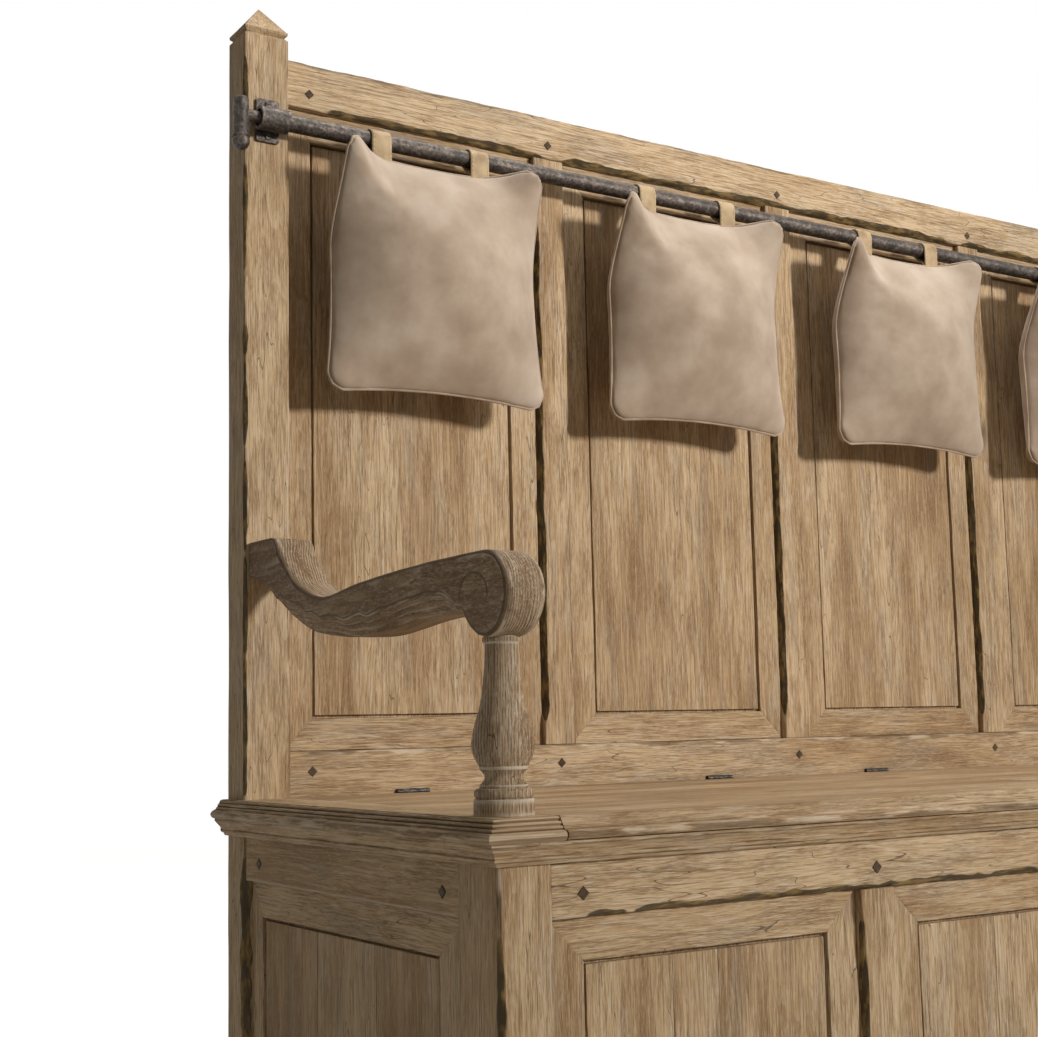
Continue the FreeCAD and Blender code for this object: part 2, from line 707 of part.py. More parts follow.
def chest_pieces():
    """The chest's front, sides, back and floor."""
    mortises = [divider(x, y_chest_face, frame_thickness, z_low_rail_top, z_chest_rail, joint_play)
                for x in divider_xs]
    cuts = front_grooves + peg_holes
    levels = {"front_top_rail": (z_chest_rail, z_seat_under),
              "front_bottom_rail": (floor_gap, z_low_rail_top)}
    for name, (z0, z1) in levels.items():
        export(name, [long_rail(x_front_inner, y_chest_face, frame_thickness, z0, z1, mortises + cuts)])
    pieces = []
    for x in divider_xs:
        piece = divider(x, y_chest_face, frame_thickness, z_low_rail_top, z_chest_rail, 0.0)
        pieces.append(keep_solid(piece.cut(cuts).removeSplitter()))
    export("front_dividers", pieces)
    strips = []
    for number, (x, width) in enumerate(front_fields):
        panel = place(panel_solid(width, chest_field_height), x, y_chest_face, z_low_rail_top)
        export("front_panel_%d" % (number + 1), [panel])
        new_strips = frame_strips(width, chest_field_height)
        strips += [place(s, x, y_chest_face, z_low_rail_top) for s in new_strips]
    export("front_panel_frames", strips)
    side_cuts = [side_groove] + [side_peg(y, z, peg_proud, peg_length) for y, z in side_peg_places()]
    levels = {"side_top_rail": (z_chest_rail, z_seat_under),
              "side_bottom_rail": (floor_gap, z_low_rail_top)}
    for name, (z0, z1) in levels.items():
        rail = box(x_side_face - frame_thickness, x_side_face, y_front_post, y_post, z0, z1)
        rail = keep_solid(rail.fuse(side_rail_tenons(z0, z1, 0.0)).cut(side_cuts).removeSplitter())
        export(name + "_right", [rail])
        export(name + "_left", [mirrored(rail)])
    side_strips = (side_strip_front, side_strip_rear)
    panel = place_side(panel_solid(side_field_width, chest_field_height, *side_strips), z_low_rail_top)
    export("side_panel_right", [panel])
    export("side_panel_left", [mirrored(panel)])
    strips = frame_strips(side_field_width, chest_field_height, *side_strips)
    strips = [place_side(s, z_low_rail_top) for s in strips]
    export("side_panel_frame_right", strips)
    export("side_panel_frame_left", [mirrored(s) for s in strips])
    z_floor = floor_gap + chest_floor_rise
    x_floor = x_side_face - frame_thickness
    z_top_floor = z_floor + chest_board
    floor = box(-x_floor, x_floor, y_chest_face + frame_thickness, y_lid_back, z_floor, z_top_floor)
    posts = [box(x_front_inner, x_floor, y_chest_face, y_front_post, z_floor, z_top_floor),
             box(x_rear_inner, x_floor, y_post, y_back, z_floor, z_top_floor)]
    floor = keep_solid(floor.cut(posts + [mirrored(p) for p in posts]).removeSplitter())
    export("chest_floor", [floor])
    board = box(-x_rear_inner, x_rear_inner, y_lid_back, y_lid_back + chest_board, floor_gap, z_bottom_rail)
    export("chest_back", [board])
    rail = box(-x_rear_inner, x_rear_inner, y_seat_rail, y_lid_back, z_seat_under - seat_rail_height,
               z_seat_under)
    export("rear_seat_rail", [keep_solid(rail.fuse(seat_rail_tenons(0.0)).removeSplitter())])


def front_post():
    """The right front post."""
    post = box(x_front_inner, half_width, y_front, y_front_post, 0, z_seat_under)
    post = drop_edges(post, post_chamfer, upright)
    cuts = rail_tenons(x_front_inner, y_chest_face, frame_thickness, z_chest_rail, z_seat_under, joint_play)
    cuts += rail_tenons(x_front_inner, y_chest_face, frame_thickness, floor_gap, z_low_rail_top, joint_play)
    cuts += [side_rail_tenons(z_chest_rail, z_seat_under, joint_play)[0]]
    cuts += [side_rail_tenons(floor_gap, z_low_rail_top, joint_play)[0]]
    cuts += [front_grooves[-1], side_groove, support_bore()]
    return keep_solid(post.cut(cuts).removeSplitter())


# Seat mouldings
def section_face(steps, inner, to_point):
    """The closed section of an edge or moulding, given as first, last and middle points.

    It reaches inwards from the carcass face by a given depth. A step without a middle point is straight.
    """
    start, end = steps[0][0], steps[-1][1]
    edges = []
    for first, last, middle in steps:
        if middle is None:
            edges.append(Part.makeLine(to_point(first), to_point(last)))
        else:
            edges.append(Part.Arc(to_point(first), to_point(middle), to_point(last)).toShape())
    corners = [end, (-inner, end[1]), (-inner, start[1]), start]
    edges += [Part.makeLine(to_point(a), to_point(b)) for a, b in zip(corners, corners[1:])]
    return Part.Face(Part.Wire(edges))


def moulding_section():
    """The moulding below the seat: a fillet, a shallow cove and a bead over a small taper."""

    def at(reach, drop):
        return (reach, z_seat_under - drop)

    high = at(moulding_top, moulding_fillet)
    cove_top = at(moulding_top - moulding_step, moulding_fillet)
    cove_end = at(cove_reach, cove_drop)
    cove_middle = ((cove_top[0] + cove_end[0]) / 2.0 - cove_sag, (cove_top[1] + cove_end[1]) / 2.0)
    bead_top = at(cove_reach - moulding_step, cove_drop)
    bead_end = at(cove_reach - moulding_step, cove_drop + bead_height)
    bead_middle = at(cove_reach - moulding_step + bead_swell, cove_drop + bead_height / 2.0)
    low_top = at(cove_reach - moulding_steps_in * moulding_step, cove_drop + bead_height)
    return [(at(moulding_top, 0.0), high, None), (high, cove_top, None), (cove_top, cove_end, cove_middle),
            (cove_end, bead_top, None), (bead_top, bead_end, bead_middle), (bead_end, low_top, None),
            (low_top, at(moulding_bottom, moulding_height), None)]


def mitre_keep(front):
    """The side of the two mitre planes that a front or a right side piece keeps."""
    big = bench_width
    corner_x, corner_y = half_width, y_front
    z0, z1 = 0.0, seat_height + lid_thickness
    if front:
        points = [(-corner_x, corner_y), (-corner_x - big, corner_y - big), (corner_x + big, corner_y - big),
                  (corner_x, corner_y)]
    else:
        points = [(corner_x, corner_y), (corner_x + big, corner_y - big), (corner_x + big, corner_y + big),
                  (corner_x, corner_y + big)]
    return prism([(x, y, z0) for x, y in points], V(0, 0, z1))


def cornice():
    """The front and two side mouldings, mitred at the front corners."""
    long = half_width + seat_overhang

    def front_point(p):
        return V(-long, y_front - p[0], p[1])

    def side_point(p):
        return V(half_width + p[0], y_nose, p[1])

    section = moulding_section()
    front = section_face(section, 0.0, front_point).extrude(V(2.0 * long, 0, 0))
    front = keep_solid(front.common(mitre_keep(True)))
    side = section_face(section, 0.0, side_point).extrude(V(0, y_back - y_nose, 0))
    side = keep_solid(side.common(mitre_keep(False)))
    return [front, side, mirrored(side)]


def seat_edge(reeded, lift):
    """The seat's edge from its top to its underside: a slope, reeded or worn smooth, then a round nose."""

    def at(reach, drop):
        return (reach, seat_height - drop)

    start = seat_overhang - seat_slope_start
    length = math.hypot(reed_reach, reed_fall)
    out = (reed_swell * reed_fall / length, reed_swell * reed_reach / length)
    steps = []
    count = reed_count if reeded else 1
    for number in range(count):
        first = at(start + reed_reach * number / count, reed_fall * number / count)
        last = at(start + reed_reach * (number + 1) / count, reed_fall * (number + 1) / count)
        middle = ((first[0] + last[0]) / 2.0 + out[0], (first[1] + last[1]) / 2.0 + out[1])
        steps.append((first, last, middle))
    nose_end = at(seat_overhang - nose_back, lid_thickness - lift)
    steps.append((steps[-1][1], nose_end, at(seat_overhang, nose_middle - lift)))
    if lift > 0.0:
        rest = at(-chest_recess - lid_lift_reach, lid_thickness - lift)
        steps.append((nose_end, rest, None))
        steps.append((rest, at(-chest_recess - lid_lift_reach, lid_thickness), None))
    return steps


def seat_end():
    """The right fixed seat end: reeded at its side and in front, notched round the rear post."""
    inner_x = lid_outer + lid_gap
    width = half_width - inner_x
    length = y_back - y_nose

    def side_point(p):
        return V(half_width + p[0], y_nose, p[1])

    def front_point(p):
        return V(inner_x, y_front - p[0], p[1])

    edge = seat_edge(True, 0.0)
    side = section_face(edge, width, side_point).extrude(V(0, length, 0))
    front = section_face(edge, y_back - y_front, front_point).extrude(V(width + seat_overhang, 0, 0))
    end = side.common(front)
    notch = box(0, half_width, y_post, y_back, z_seat_under, seat_height)
    return keep_solid(end.cut([notch, support_bore()]).removeSplitter())


def lid():
    """The right lid."""
    depth = y_lid_back - y_front

    def front_point(p):
        return V(lid_gap / 2.0, y_front - p[0], p[1])

    board = section_face(seat_edge(False, lid_lift), depth, front_point).extrude(V(lid_width, 0, 0))
    return keep_solid(board.cut([hinge_pocket_in_lid(x) for x in right_hinge_xs]).removeSplitter())


def hinge_pieces():
    """Leaves and pins of all four hinges."""
    export("hinge_fixed_leaves", [hinge_leaf(x, True) for x in hinge_xs])
    export("lid_hinge_leaves_right", [hinge_leaf(x, False) for x in right_hinge_xs])
    export("lid_hinge_leaves_left", [hinge_leaf(-x, False) for x in right_hinge_xs])
    start = hinge_length / 2.0
    pins = [cylinder(pin_radius, hinge_length, V(x - start, y_pin, z_pin), X_AXIS) for x in hinge_xs]
    export("hinge_pins", pins)


# Iron rod, its sleeves and its end stops
def rod_bracket():
    """The right plate and sleeve, joined by a web."""
    x0 = half_width - sleeve_start - sleeve_length
    z_mid = z_rod + plate_rise
    plate = box(plate_x - plate_width / 2.0, plate_x + plate_width / 2.0, y_post - plate_thickness, y_post,
                z_mid - plate_height / 2.0, z_mid + plate_height / 2.0)
    along = [e for e in plate.Edges if abs(e.Length - plate_thickness) < 0.01]
    plate = plate.makeFillet(plate_corner, along)
    sleeve = cylinder(sleeve_radius, sleeve_length, V(x0, y_rod, z_rod), X_AXIS)
    web = box(plate_x - plate_width / 2.0, plate_x + plate_width / 2.0, y_rod, y_post - plate_thickness / 2.0,
              z_rod - web_height / 2.0, z_rod + web_height / 2.0)
    bore = cylinder(rod_radius + rod_play, sleeve_length, V(x0, y_rod, z_rod), X_AXIS)
    holes = [cylinder(screw_radius, screw_length, V(plate_x, y_post - plate_thickness, z), Y_AXIS)
             for z in screw_heights()]
    return keep_solid(plate.fuse([sleeve, web]).cut([bore] + holes).removeSplitter())


def bracket_screws():
    """The right plate's two screws."""
    screws = []
    y_plate = y_post - plate_thickness
    y_head = y_plate - screw_head
    for z in screw_heights():
        shank = cylinder(screw_radius, screw_length, V(plate_x, y_plate, z), Y_AXIS)
        head = cylinder(screw_head_radius, screw_head, V(plate_x, y_head, z), Y_AXIS)
        slot = box(plate_x - screw_head_radius, plate_x + screw_head_radius, y_head,
                   y_plate - screw_head / 2.0, z - screw_slot / 2.0, z + screw_slot / 2.0)
        screws.append(keep_solid(shank.fuse(head).cut(slot).removeSplitter()))
    return screws


def rod():
    """The rod, bored at both ends for the stops' spigots."""
    x1 = half_width - rod_end_inset
    bar = cylinder(rod_radius, 2.0 * x1, V(-x1, y_rod, z_rod), X_AXIS)
    bore = cylinder(stop_spigot_radius + joint_play, stop_spigot_length + joint_play,
                    V(x1 - stop_spigot_length - joint_play, y_rod, z_rod), X_AXIS)
    return keep_solid(bar.cut([bore, mirrored(bore)]))


def end_stop():
    """The right T-shaped stop: spigot, neck, upright bar, ring and ball."""
    x1 = half_width - rod_end_inset
    x_bar = half_width + stop_reach
    spigot = cylinder(stop_spigot_radius, stop_spigot_length,
                      V(x1 - stop_spigot_length, y_rod, z_rod), X_AXIS)
    neck = cylinder(stop_neck_radius, x_bar - x1, V(x1, y_rod, z_rod), X_AXIS)
    bar = cylinder(stop_bar_radius, stop_bar_up + stop_bar_down,
                   V(x_bar, y_rod, z_rod - stop_bar_down), Z_AXIS)
    top = [e for e in bar.Edges if abs(e.CenterOfMass.z - (z_rod + stop_bar_up)) < 0.01]
    bar = bar.makeChamfer(stop_edge, top)
    ring = cylinder(stop_ring_radius, stop_ring_height,
                    V(x_bar, y_rod, z_rod - stop_ring_drop - stop_ring_height), Z_AXIS)
    ball = Part.makeSphere(stop_ball_radius, V(x_bar, y_rod, z_rod - stop_bar_down - stop_ball_drop))
    return keep_solid(spigot.fuse([neck, bar, ring, ball]).removeSplitter())


# Pillows: lofts from the seam to a small flat crown, front and back
def pillow_outline(rise):
    """One outline parallel to the seam, a share of the way to the crown, facing -Y."""
    fall = math.cos(math.pi / 2.0 * rise ** 1.6)
    spread = pillow_crown + (1.0 - pillow_crown) * fall
    reach = (pillow_size / 2.0 - pillow_draw) * spread
    tip = (pillow_size / 2.0 - pillow_ear * (1.0 - (1.0 - rise) ** 3)) * spread
    y = -(pillow_edge + (pillow_half - pillow_edge) * rise)
    corners = [(tip, tip), (-tip, tip), (-tip, -tip), (tip, -tip), (tip, tip)]
    middles = [(0, reach), (-reach, 0), (0, -reach), (reach, 0)]
    edges = []
    for a, m, b in zip(corners, middles, corners[1:]):
        edges.append(Part.Arc(V(a[0], y, a[1]), V(m[0], y, m[1]), V(b[0], y, b[1])).toShape())
    return Part.Wire(edges)


def pillow():
    """A plump square pillow with its corners drawn out, centred on the origin."""
    half = Part.makeLoft([pillow_outline(step) for step in pillow_steps], True, False)
    band = Part.Face(pillow_outline(0.0)).extrude(V(0, 2.0 * pillow_edge, 0))
    other = half.mirror(V(0, 0, 0), Y_AXIS)
    return keep_solid(half.fuse([band, other]))


# A tab's front leg hangs straight down from the front of the rod
y_seam = y_rod - rod_radius - tab_clear
z_seam = z_rod - seam_drop


def leg_shape(x, loop_radius, end_radius, length):
    """A bar round the rod that narrows to its lower end, hanging straight down from the origin."""
    angle = math.acos((loop_radius - end_radius) / length)
    across, down = math.sin(angle), math.cos(angle)
    side = x - tab_width / 2.0
    loop = cylinder(loop_radius, tab_width, V(side, 0, 0), X_AXIS)
    end = cylinder(end_radius, tab_width, V(side, 0, -length), X_AXIS)
    points = [(side, loop_radius * across, -loop_radius * down),
              (side, end_radius * across, -length - end_radius * down),
              (side, -end_radius * across, -length - end_radius * down),
              (side, -loop_radius * across, -loop_radius * down)]
    return loop.fuse([end, prism(points, V(tab_width, 0, 0))])


def pillow_tab(x):
    """One leather loop round the rod, drawn together and sewn at its lower end."""
    inner = rod_radius + tab_clear
    length = math.hypot(y_rod - y_seam, seam_drop)
    outside = leg_shape(x, inner + tab_thickness, tab_thickness, length)
    inside = leg_shape(x, inner, tab_slit, length - tab_stitch)
    tab = keep_solid(outside.cut(inside).removeSplitter())
    tab.rotate(V(0, 0, 0), X_AXIS, -math.degrees(math.atan2(y_rod - y_seam, seam_drop)))
    tab.translate(V(0, y_rod, z_rod))
    return tab


def hanging_pieces():
    """Four pillows and their tabs."""
    corner = pillow_size / 2.0
    tab_reach = (tab_spread + tab_width) / 2.0
    bend = (corner ** 2 + pillow_draw ** 2) / (2.0 * pillow_draw)
    edge_rise = bend - math.sqrt(bend ** 2 - tab_reach ** 2)
    drop = corner - pillow_draw + edge_rise + tab_thickness + tab_clear
    for number, x in enumerate(bay_xs):
        cushion = place(pillow(), x, y_seam, z_seam - drop)
        cushion.rotate(V(x, y_seam, z_seam), X_AXIS, -pillow_lean)
        export("pillow_%d" % (number + 1), [cushion])
        tabs = [pillow_tab(x - tab_spread / 2.0), pillow_tab(x + tab_spread / 2.0)]
        export("pillow_tabs_%d" % (number + 1), tabs)


def pairs(name, shape):
    """A right piece and its mirror image."""
    export(name + "_right", [shape])
    export(name + "_left", [mirrored(shape)])


os.makedirs("parts", exist_ok=True)
pairs("rear_post", rear_post())
pairs("front_post", front_post())
back_pieces()
chest_pieces()
export("oak_pegs", pegs + right_side_pegs + [mirrored(p) for p in right_side_pegs])
export("cornice_moulding", cornice())
pairs("seat_end", seat_end())
pairs("lid", lid())
hinge_pieces()
pairs("arm", arm())
pairs("arm_support", support())
export("pillow_rod", [rod()])
export("rod_end_stops", [end_stop(), mirrored(end_stop())])
pairs("rod_bracket", rod_bracket())
export("bracket_screws", bracket_screws() + [mirrored(s) for s in bracket_screws()])
hanging_pieces()
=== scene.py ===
"""An oak settle bench: panelled back and chest, lift-up lids, and pillows hung from an iron rod.

Every length is written in millimetres in the bench's own frame (X along it, Y to the back, Z up)
and turned to metres when a mesh is made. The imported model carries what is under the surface;
this file gives each visible piece its hewn, worn or sewn form and its finish.
"""
import logging
import math
from dataclasses import dataclass, field
from enum import Enum
from typing import Callable, Iterable, Optional, Sequence, Union

import bmesh
import bpy
from mathutils import Matrix, Vector, noise
from mathutils.kdtree import KDTree


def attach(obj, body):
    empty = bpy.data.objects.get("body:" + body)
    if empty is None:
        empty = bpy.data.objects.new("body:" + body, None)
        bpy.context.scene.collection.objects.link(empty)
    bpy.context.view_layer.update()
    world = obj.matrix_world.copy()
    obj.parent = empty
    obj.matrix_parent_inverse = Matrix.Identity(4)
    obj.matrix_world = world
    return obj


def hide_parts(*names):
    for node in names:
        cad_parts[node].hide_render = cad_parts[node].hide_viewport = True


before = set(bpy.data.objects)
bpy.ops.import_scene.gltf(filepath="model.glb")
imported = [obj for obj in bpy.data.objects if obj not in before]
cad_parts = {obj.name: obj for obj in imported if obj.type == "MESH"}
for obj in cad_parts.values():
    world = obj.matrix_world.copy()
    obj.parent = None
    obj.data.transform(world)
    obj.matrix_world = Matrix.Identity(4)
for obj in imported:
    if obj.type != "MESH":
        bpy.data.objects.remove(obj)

LOG = logging.getLogger("settle_bench")
MM = 0.001
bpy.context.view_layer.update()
Point = tuple[float, float, float]
Socket = bpy.types.NodeSocket
Value = Union[Socket, float]


class Along(Enum):
    """The way a board's grain runs."""

    X = 0
    Y = 1
    Z = 2


# ---- colours and nodes ----


def linear(hex_colour: str) -> tuple[float, float, float, float]:
    """Turn an sRGB hex colour into linear values.

    Args:
        hex_colour: six hex digits, such as "A07F58".

    Returns:
        Red, green, blue and an alpha of 1, linear.
    """
    channels = []
    for start in (0, 2, 4):
        value = int(hex_colour[start:start + 2], 16) / 255.0
        channels.append(value / 12.92 if value <= 0.04045 else ((value + 0.055) / 1.055) ** 2.4)
    return (channels[0], channels[1], channels[2], 1.0)


class Graph:
    """A node tree, with one short call for each kind of node that the finishes use."""

    def __init__(self, tree: bpy.types.NodeTree) -> None:
        """Empty the tree."""
        self.tree = tree
        tree.nodes.clear()

    def add(self, kind: str, inputs: Optional[dict] = None, **settings: object) -> bpy.types.Node:
        """Add one node.

        Args:
            kind: the node's type without "ShaderNode".
            inputs: the socket that feeds an input, or its value, by the input's name or number.
            settings: the node's own attributes.

        Returns:
            The new node.
        """
        node = self.tree.nodes.new("ShaderNode" + kind)
        for name, value in settings.items():
            setattr(node, name, value)
        for key, value in (inputs or {}).items():
            if isinstance(value, bpy.types.NodeSocket):
                self.tree.links.new(value, node.inputs[key])
            else:
                node.inputs[key].default_value = value
        return node

    def math(self, operation: str, *values: Value) -> Socket:
        """Work out a number from sockets or numbers."""
        return self.add("Math", dict(enumerate(values)), operation=operation).outputs[0]

    def both(self, first: Value, second: Value) -> Socket:
        """The product of two masks."""
        return self.math("MULTIPLY", first, second)

    def vector(self, operation: str, *values: object) -> Socket:
        """Work out a vector, or its length, from sockets or vectors."""
        node = self.add("VectorMath", dict(enumerate(values)), operation=operation)
        return node.outputs["Value" if operation == "LENGTH" else "Vector"]

    def step(self, value: Socket, low: float, high: float) -> Socket:
        """A smooth step from 0 at low to 1 at high."""
        return self.add("MapRange", {0: value, 1: low, 2: high}, interpolation_type="SMOOTHSTEP").outputs[0]

    def spread(self, value: Socket, low: float, high: float) -> Socket:
        """Stretch a value from 0 and 1 to low and high."""
        return self.add("MapRange", {0: value, 3: low, 4: high}).outputs[0]

    def noise(self, place: Socket, scale: float, detail: float, rough: float = 0.5) -> Socket:
        """Soft noise from 0 to 1."""
        inputs = {"Vector": place, "Scale": scale, "Detail": detail, "Roughness": rough}
        return self.add("TexNoise", inputs).outputs["Fac"]

    def ramp(self, value: Socket, stops: Sequence[tuple[float, str]]) -> Socket:
        """Turn a value into a colour.

        Args:
            value: the value.
            stops: pairs of place and hex colour, in rising order.

        Returns:
            The colour.
        """
        node = self.add("ValToRGB", {0: value})
        elements = node.color_ramp.elements
        while len(elements) < len(stops):
            elements.new(0.5)
        for element, (place, colour) in zip(elements, stops):
            element.position = place
            element.color = linear(colour)
        return node.outputs[0]

    def lay(self, colour: Socket, layers: Sequence[tuple[str, Socket, float]]) -> Socket:
        """Lay hex colours over a colour.

        Args:
            colour: what is below.
            layers: the hex colour, mask and strength of each, from the lowest up.

        Returns:
            The colour with its layers.
        """
        for shade, mask, strength in layers:
            factor = self.both(mask, strength)
            colour = self.add("Mix", {0: factor, 6: colour, 7: linear(shade)}, data_type="RGBA").outputs[2]
        return colour

    def attribute(self, name: str, output: str = "Fac") -> Socket:
        """What a mesh carries at each point."""
        return self.add("Attribute", attribute_name=name).outputs[output]

    def where(self) -> Socket:
        """The place on the piece in metres."""
        return self.add("TexCoord").outputs["Object"]

    def seen(self) -> Socket:
        """1 where the camera sees a thing, also in gloss or through glass, and 0 where it only gives light."""
        rays = self.add("LightPath").outputs
        return self.math("MAXIMUM", self.math("MAXIMUM", rays["Is Camera Ray"], rays["Is Glossy Ray"]),
                         rays["Is Transmission Ray"])


class MaterialGraph(Graph):
    """The tree of a new material."""

    def __init__(self, name: str) -> None:
        """Start an empty material under this name."""
        self.material = bpy.data.materials.new(name)
        self.material.use_nodes = True
        super().__init__(self.material.node_tree)

    def finish(self, inputs: dict, height: Optional[Socket] = None, strength: float = 1.0,
               depth: float = 1.0) -> bpy.types.Material:
        """Add the shader and the output.

        Args:
            inputs: the shader's inputs by name.
            height: the relief, if any.
            strength: the relief's strength, 0 to 1.
            depth: the relief's depth in mm.

        Returns:
            The finished material.
        """
        if height is not None:
            bump = self.add("Bump", {"Height": height, "Strength": strength, "Distance": depth * MM})
            inputs = {**inputs, "Normal": bump.outputs[0]}
        shader = self.add("BsdfPrincipled", inputs)
        self.add("OutputMaterial", {"Surface": shader.outputs[0]})
        return self.material


# ---- finishes ----


@dataclass(frozen=True)
class LimedOak:
    """European oak, wire-brushed, stained, then limed and waxed.

    Brushing opens the grain, so the eye reads long broken streaks: brown summer wood, darker pores and
    grey-white lime caught in them. The wax is dull, so the wood has no gloss.
    """

    name: str = "oak, brushed and limed"
    pale: str = "CDB28C"
    body: str = "B39670"
    brown: str = "8B6C49"
    grey: str = "A39480"
    pore: str = "523F2B"
    lime: str = "D8CCBA"
    # bark: dark bark, darkened further to also paint the shade on bark edges that face down
    bark: str = "3A2F19"
    bark_worn: str = "93794A"
    ring_pitch: float = 6.0       # year rings in mm, a flat-sawn face spreads them to this
    ring_depth: float = 0.3
    ring_bend: float = 0.055      # how far slow noise bends the rings, in metres
    ring_lime: float = 0.10       # lime left in the spring wood beside each ring
    streak_width: float = 3.0     # pore streaks are near 0.3 mm in the wood and drawn this wide to show
    streak_length: float = 70.0
    fine_width: float = 1.35
    fine_length: float = 30.0
    fine_depth: float = 0.42
    roughness: float = 0.66       # waxed open-grained oak
    ior: float = 1.5
    specular: float = 0.2         # the open grain breaks up most of the wax's reflection
    carved: float = 3.0           # the depth of the carved line, in the relief's own unit
    grain: Optional[Along] = None  # None reads each board's own grain directions
    scroll: Optional[tuple[float, float, float, float]] = None  # a carved line: middle y, z, half width, height

    def coordinates(self, graph: Graph) -> tuple[Socket, Socket]:
        """Find a point's place in its board.

        Args:
            graph: the material's tree.

        Returns:
            The place in metres as (along, across, through), and the board's own number.
        """
        if self.grain is None:
            return graph.attribute("grain_at", "Vector"), graph.attribute("board")
        x, y, z = graph.add("SeparateXYZ", {0: graph.where()}).outputs
        along, across, halves_apart = (x, y, 0.0) if self.grain is Along.X else (y, x, 0.21)
        place = graph.add("CombineXYZ", {0: along, 1: across, 2: graph.math("ADD", z, 0.07)}).outputs[0]
        return place, graph.math("MULTIPLY_ADD", graph.math("SIGN", x), halves_apart, 0.5)

    def scroll_line(self, graph: Graph) -> Socket:
        """Draw half an oval line on the faces that look outwards.

        Args:
            graph: the material's tree.

        Returns:
            The line's mask.
        """
        y, z, wide, high = (length * MM for length in self.scroll)
        near = graph.vector("SUBTRACT", graph.where(), (0.0, y, z))
        oval = graph.vector("MULTIPLY", near, (0.0, 1.0 / wide, 1.0 / high))
        gap = graph.math("ABSOLUTE", graph.math("SUBTRACT", graph.vector("LENGTH", oval), 1.0))
        upper = graph.add("MapRange", {0: graph.add("SeparateXYZ", {0: oval}).outputs[2], 1: -0.35, 2: 0.1}).outputs[0]
        facing = graph.add("SeparateXYZ", {0: graph.add("NewGeometry").outputs["Normal"]}).outputs[0]
        outwards = graph.math("GREATER_THAN", graph.math("ABSOLUTE", facing), 0.8)
        return graph.both(graph.both(graph.step(gap, 0.085, 0.02), upper), outwards)

    def build(self) -> bpy.types.Material:
        """Build the material.

        Returns:
            The finished material.
        """
        graph = MaterialGraph(self.name)
        step, both = graph.step, graph.both
        place, board = self.coordinates(graph)
        apart = graph.math("MULTIPLY", board, 37.0)
        moved = graph.vector("ADD", place, graph.add("CombineXYZ", {0: apart, 1: apart}).outputs[0])

        def marks(length: float, width: float, detail: float, rough: float = 0.55) -> Socket:
            """Noise whose marks are this long and wide in mm."""
            scale = (1.0 / (length * MM), 1.0 / (width * MM), 1.0 / (width * MM))
            return graph.noise(graph.vector("MULTIPLY", moved, scale), 1.0, detail, rough)

        # Year rings: the distance from the tree's heart, bent by slow noise
        radius = graph.vector("LENGTH", graph.vector("MULTIPLY", place, (0.03, 1.0, 1.0)))
        bent = graph.math("MULTIPLY_ADD", marks(260.0, 45.0, 2.0), self.ring_bend, radius)
        ring = graph.math("FRACT", graph.math("MULTIPLY", bent, 1.0 / (self.ring_pitch * MM)))
        ring_line = both(step(ring, 0.45, 0.93), step(ring, 1.0, 0.95))

        # A few knots and drying checks
        streak = marks(self.streak_length, self.streak_width, 3.0)
        cloud = graph.math("ADD", marks(420.0, 70.0, 2.0), graph.spread(board, -0.16, 0.16))
        cells = graph.vector("MULTIPLY", moved, (3.2, 9.0, 0.0))
        knots = graph.add("TexVoronoi", {"Vector": cells, "Scale": 1.0}).outputs
        edge = graph.math("MULTIPLY_ADD", streak, 0.10, knots["Distance"])
        chosen = graph.add("SeparateColor", {0: knots["Color"]}).outputs[0]
        knot = both(step(edge, 0.17, 0.07), step(chosen, 0.70, 0.72))
        split = graph.math("PINGPONG", marks(150.0, 16.0, 1.0, 0.4), 0.5)
        check = both(step(split, 0.4955, 0.4995), step(cloud, 0.50, 0.60))

        fine = marks(self.fine_length, self.fine_width, 2.0, 0.6)
        hair = marks(self.fine_length * 0.4, self.fine_width * 0.55, 2.0, 0.7)
        patch = marks(90.0, 22.0, 4.0)
        colour = graph.ramp(cloud, ((0.28, self.brown), (0.47, self.body), (0.68, self.pale)))
        colour = graph.lay(colour, (
            (self.brown, step(patch, 0.46, 0.68), 0.42),
            (self.grey, step(marks(150.0, 32.0, 3.0), 0.50, 0.66), 0.5),
            (self.brown, ring_line, self.ring_depth),
            (self.brown, step(streak, 0.50, 0.64), 0.55),
            (self.pale, step(streak, 0.47, 0.36), 0.45),
            (self.pore, step(fine, 0.53, 0.70), self.fine_depth),
            (self.pore, both(step(hair, 0.52, 0.66), step(patch, 0.36, 0.60)), 0.5),
            (self.lime, step(hair, 0.47, 0.34), 0.32),
            (self.lime, both(step(fine, 0.46, 0.34), step(cloud, 0.40, 0.58)), 0.5),
            (self.lime, both(step(ring, 0.36, 0.10), step(patch, 0.62, 0.44)), self.ring_lime),
            (self.pore, knot, 0.75),
            (self.pore, check, 0.8)))
        height = both(step(fine, 0.70, 0.45), 0.6)

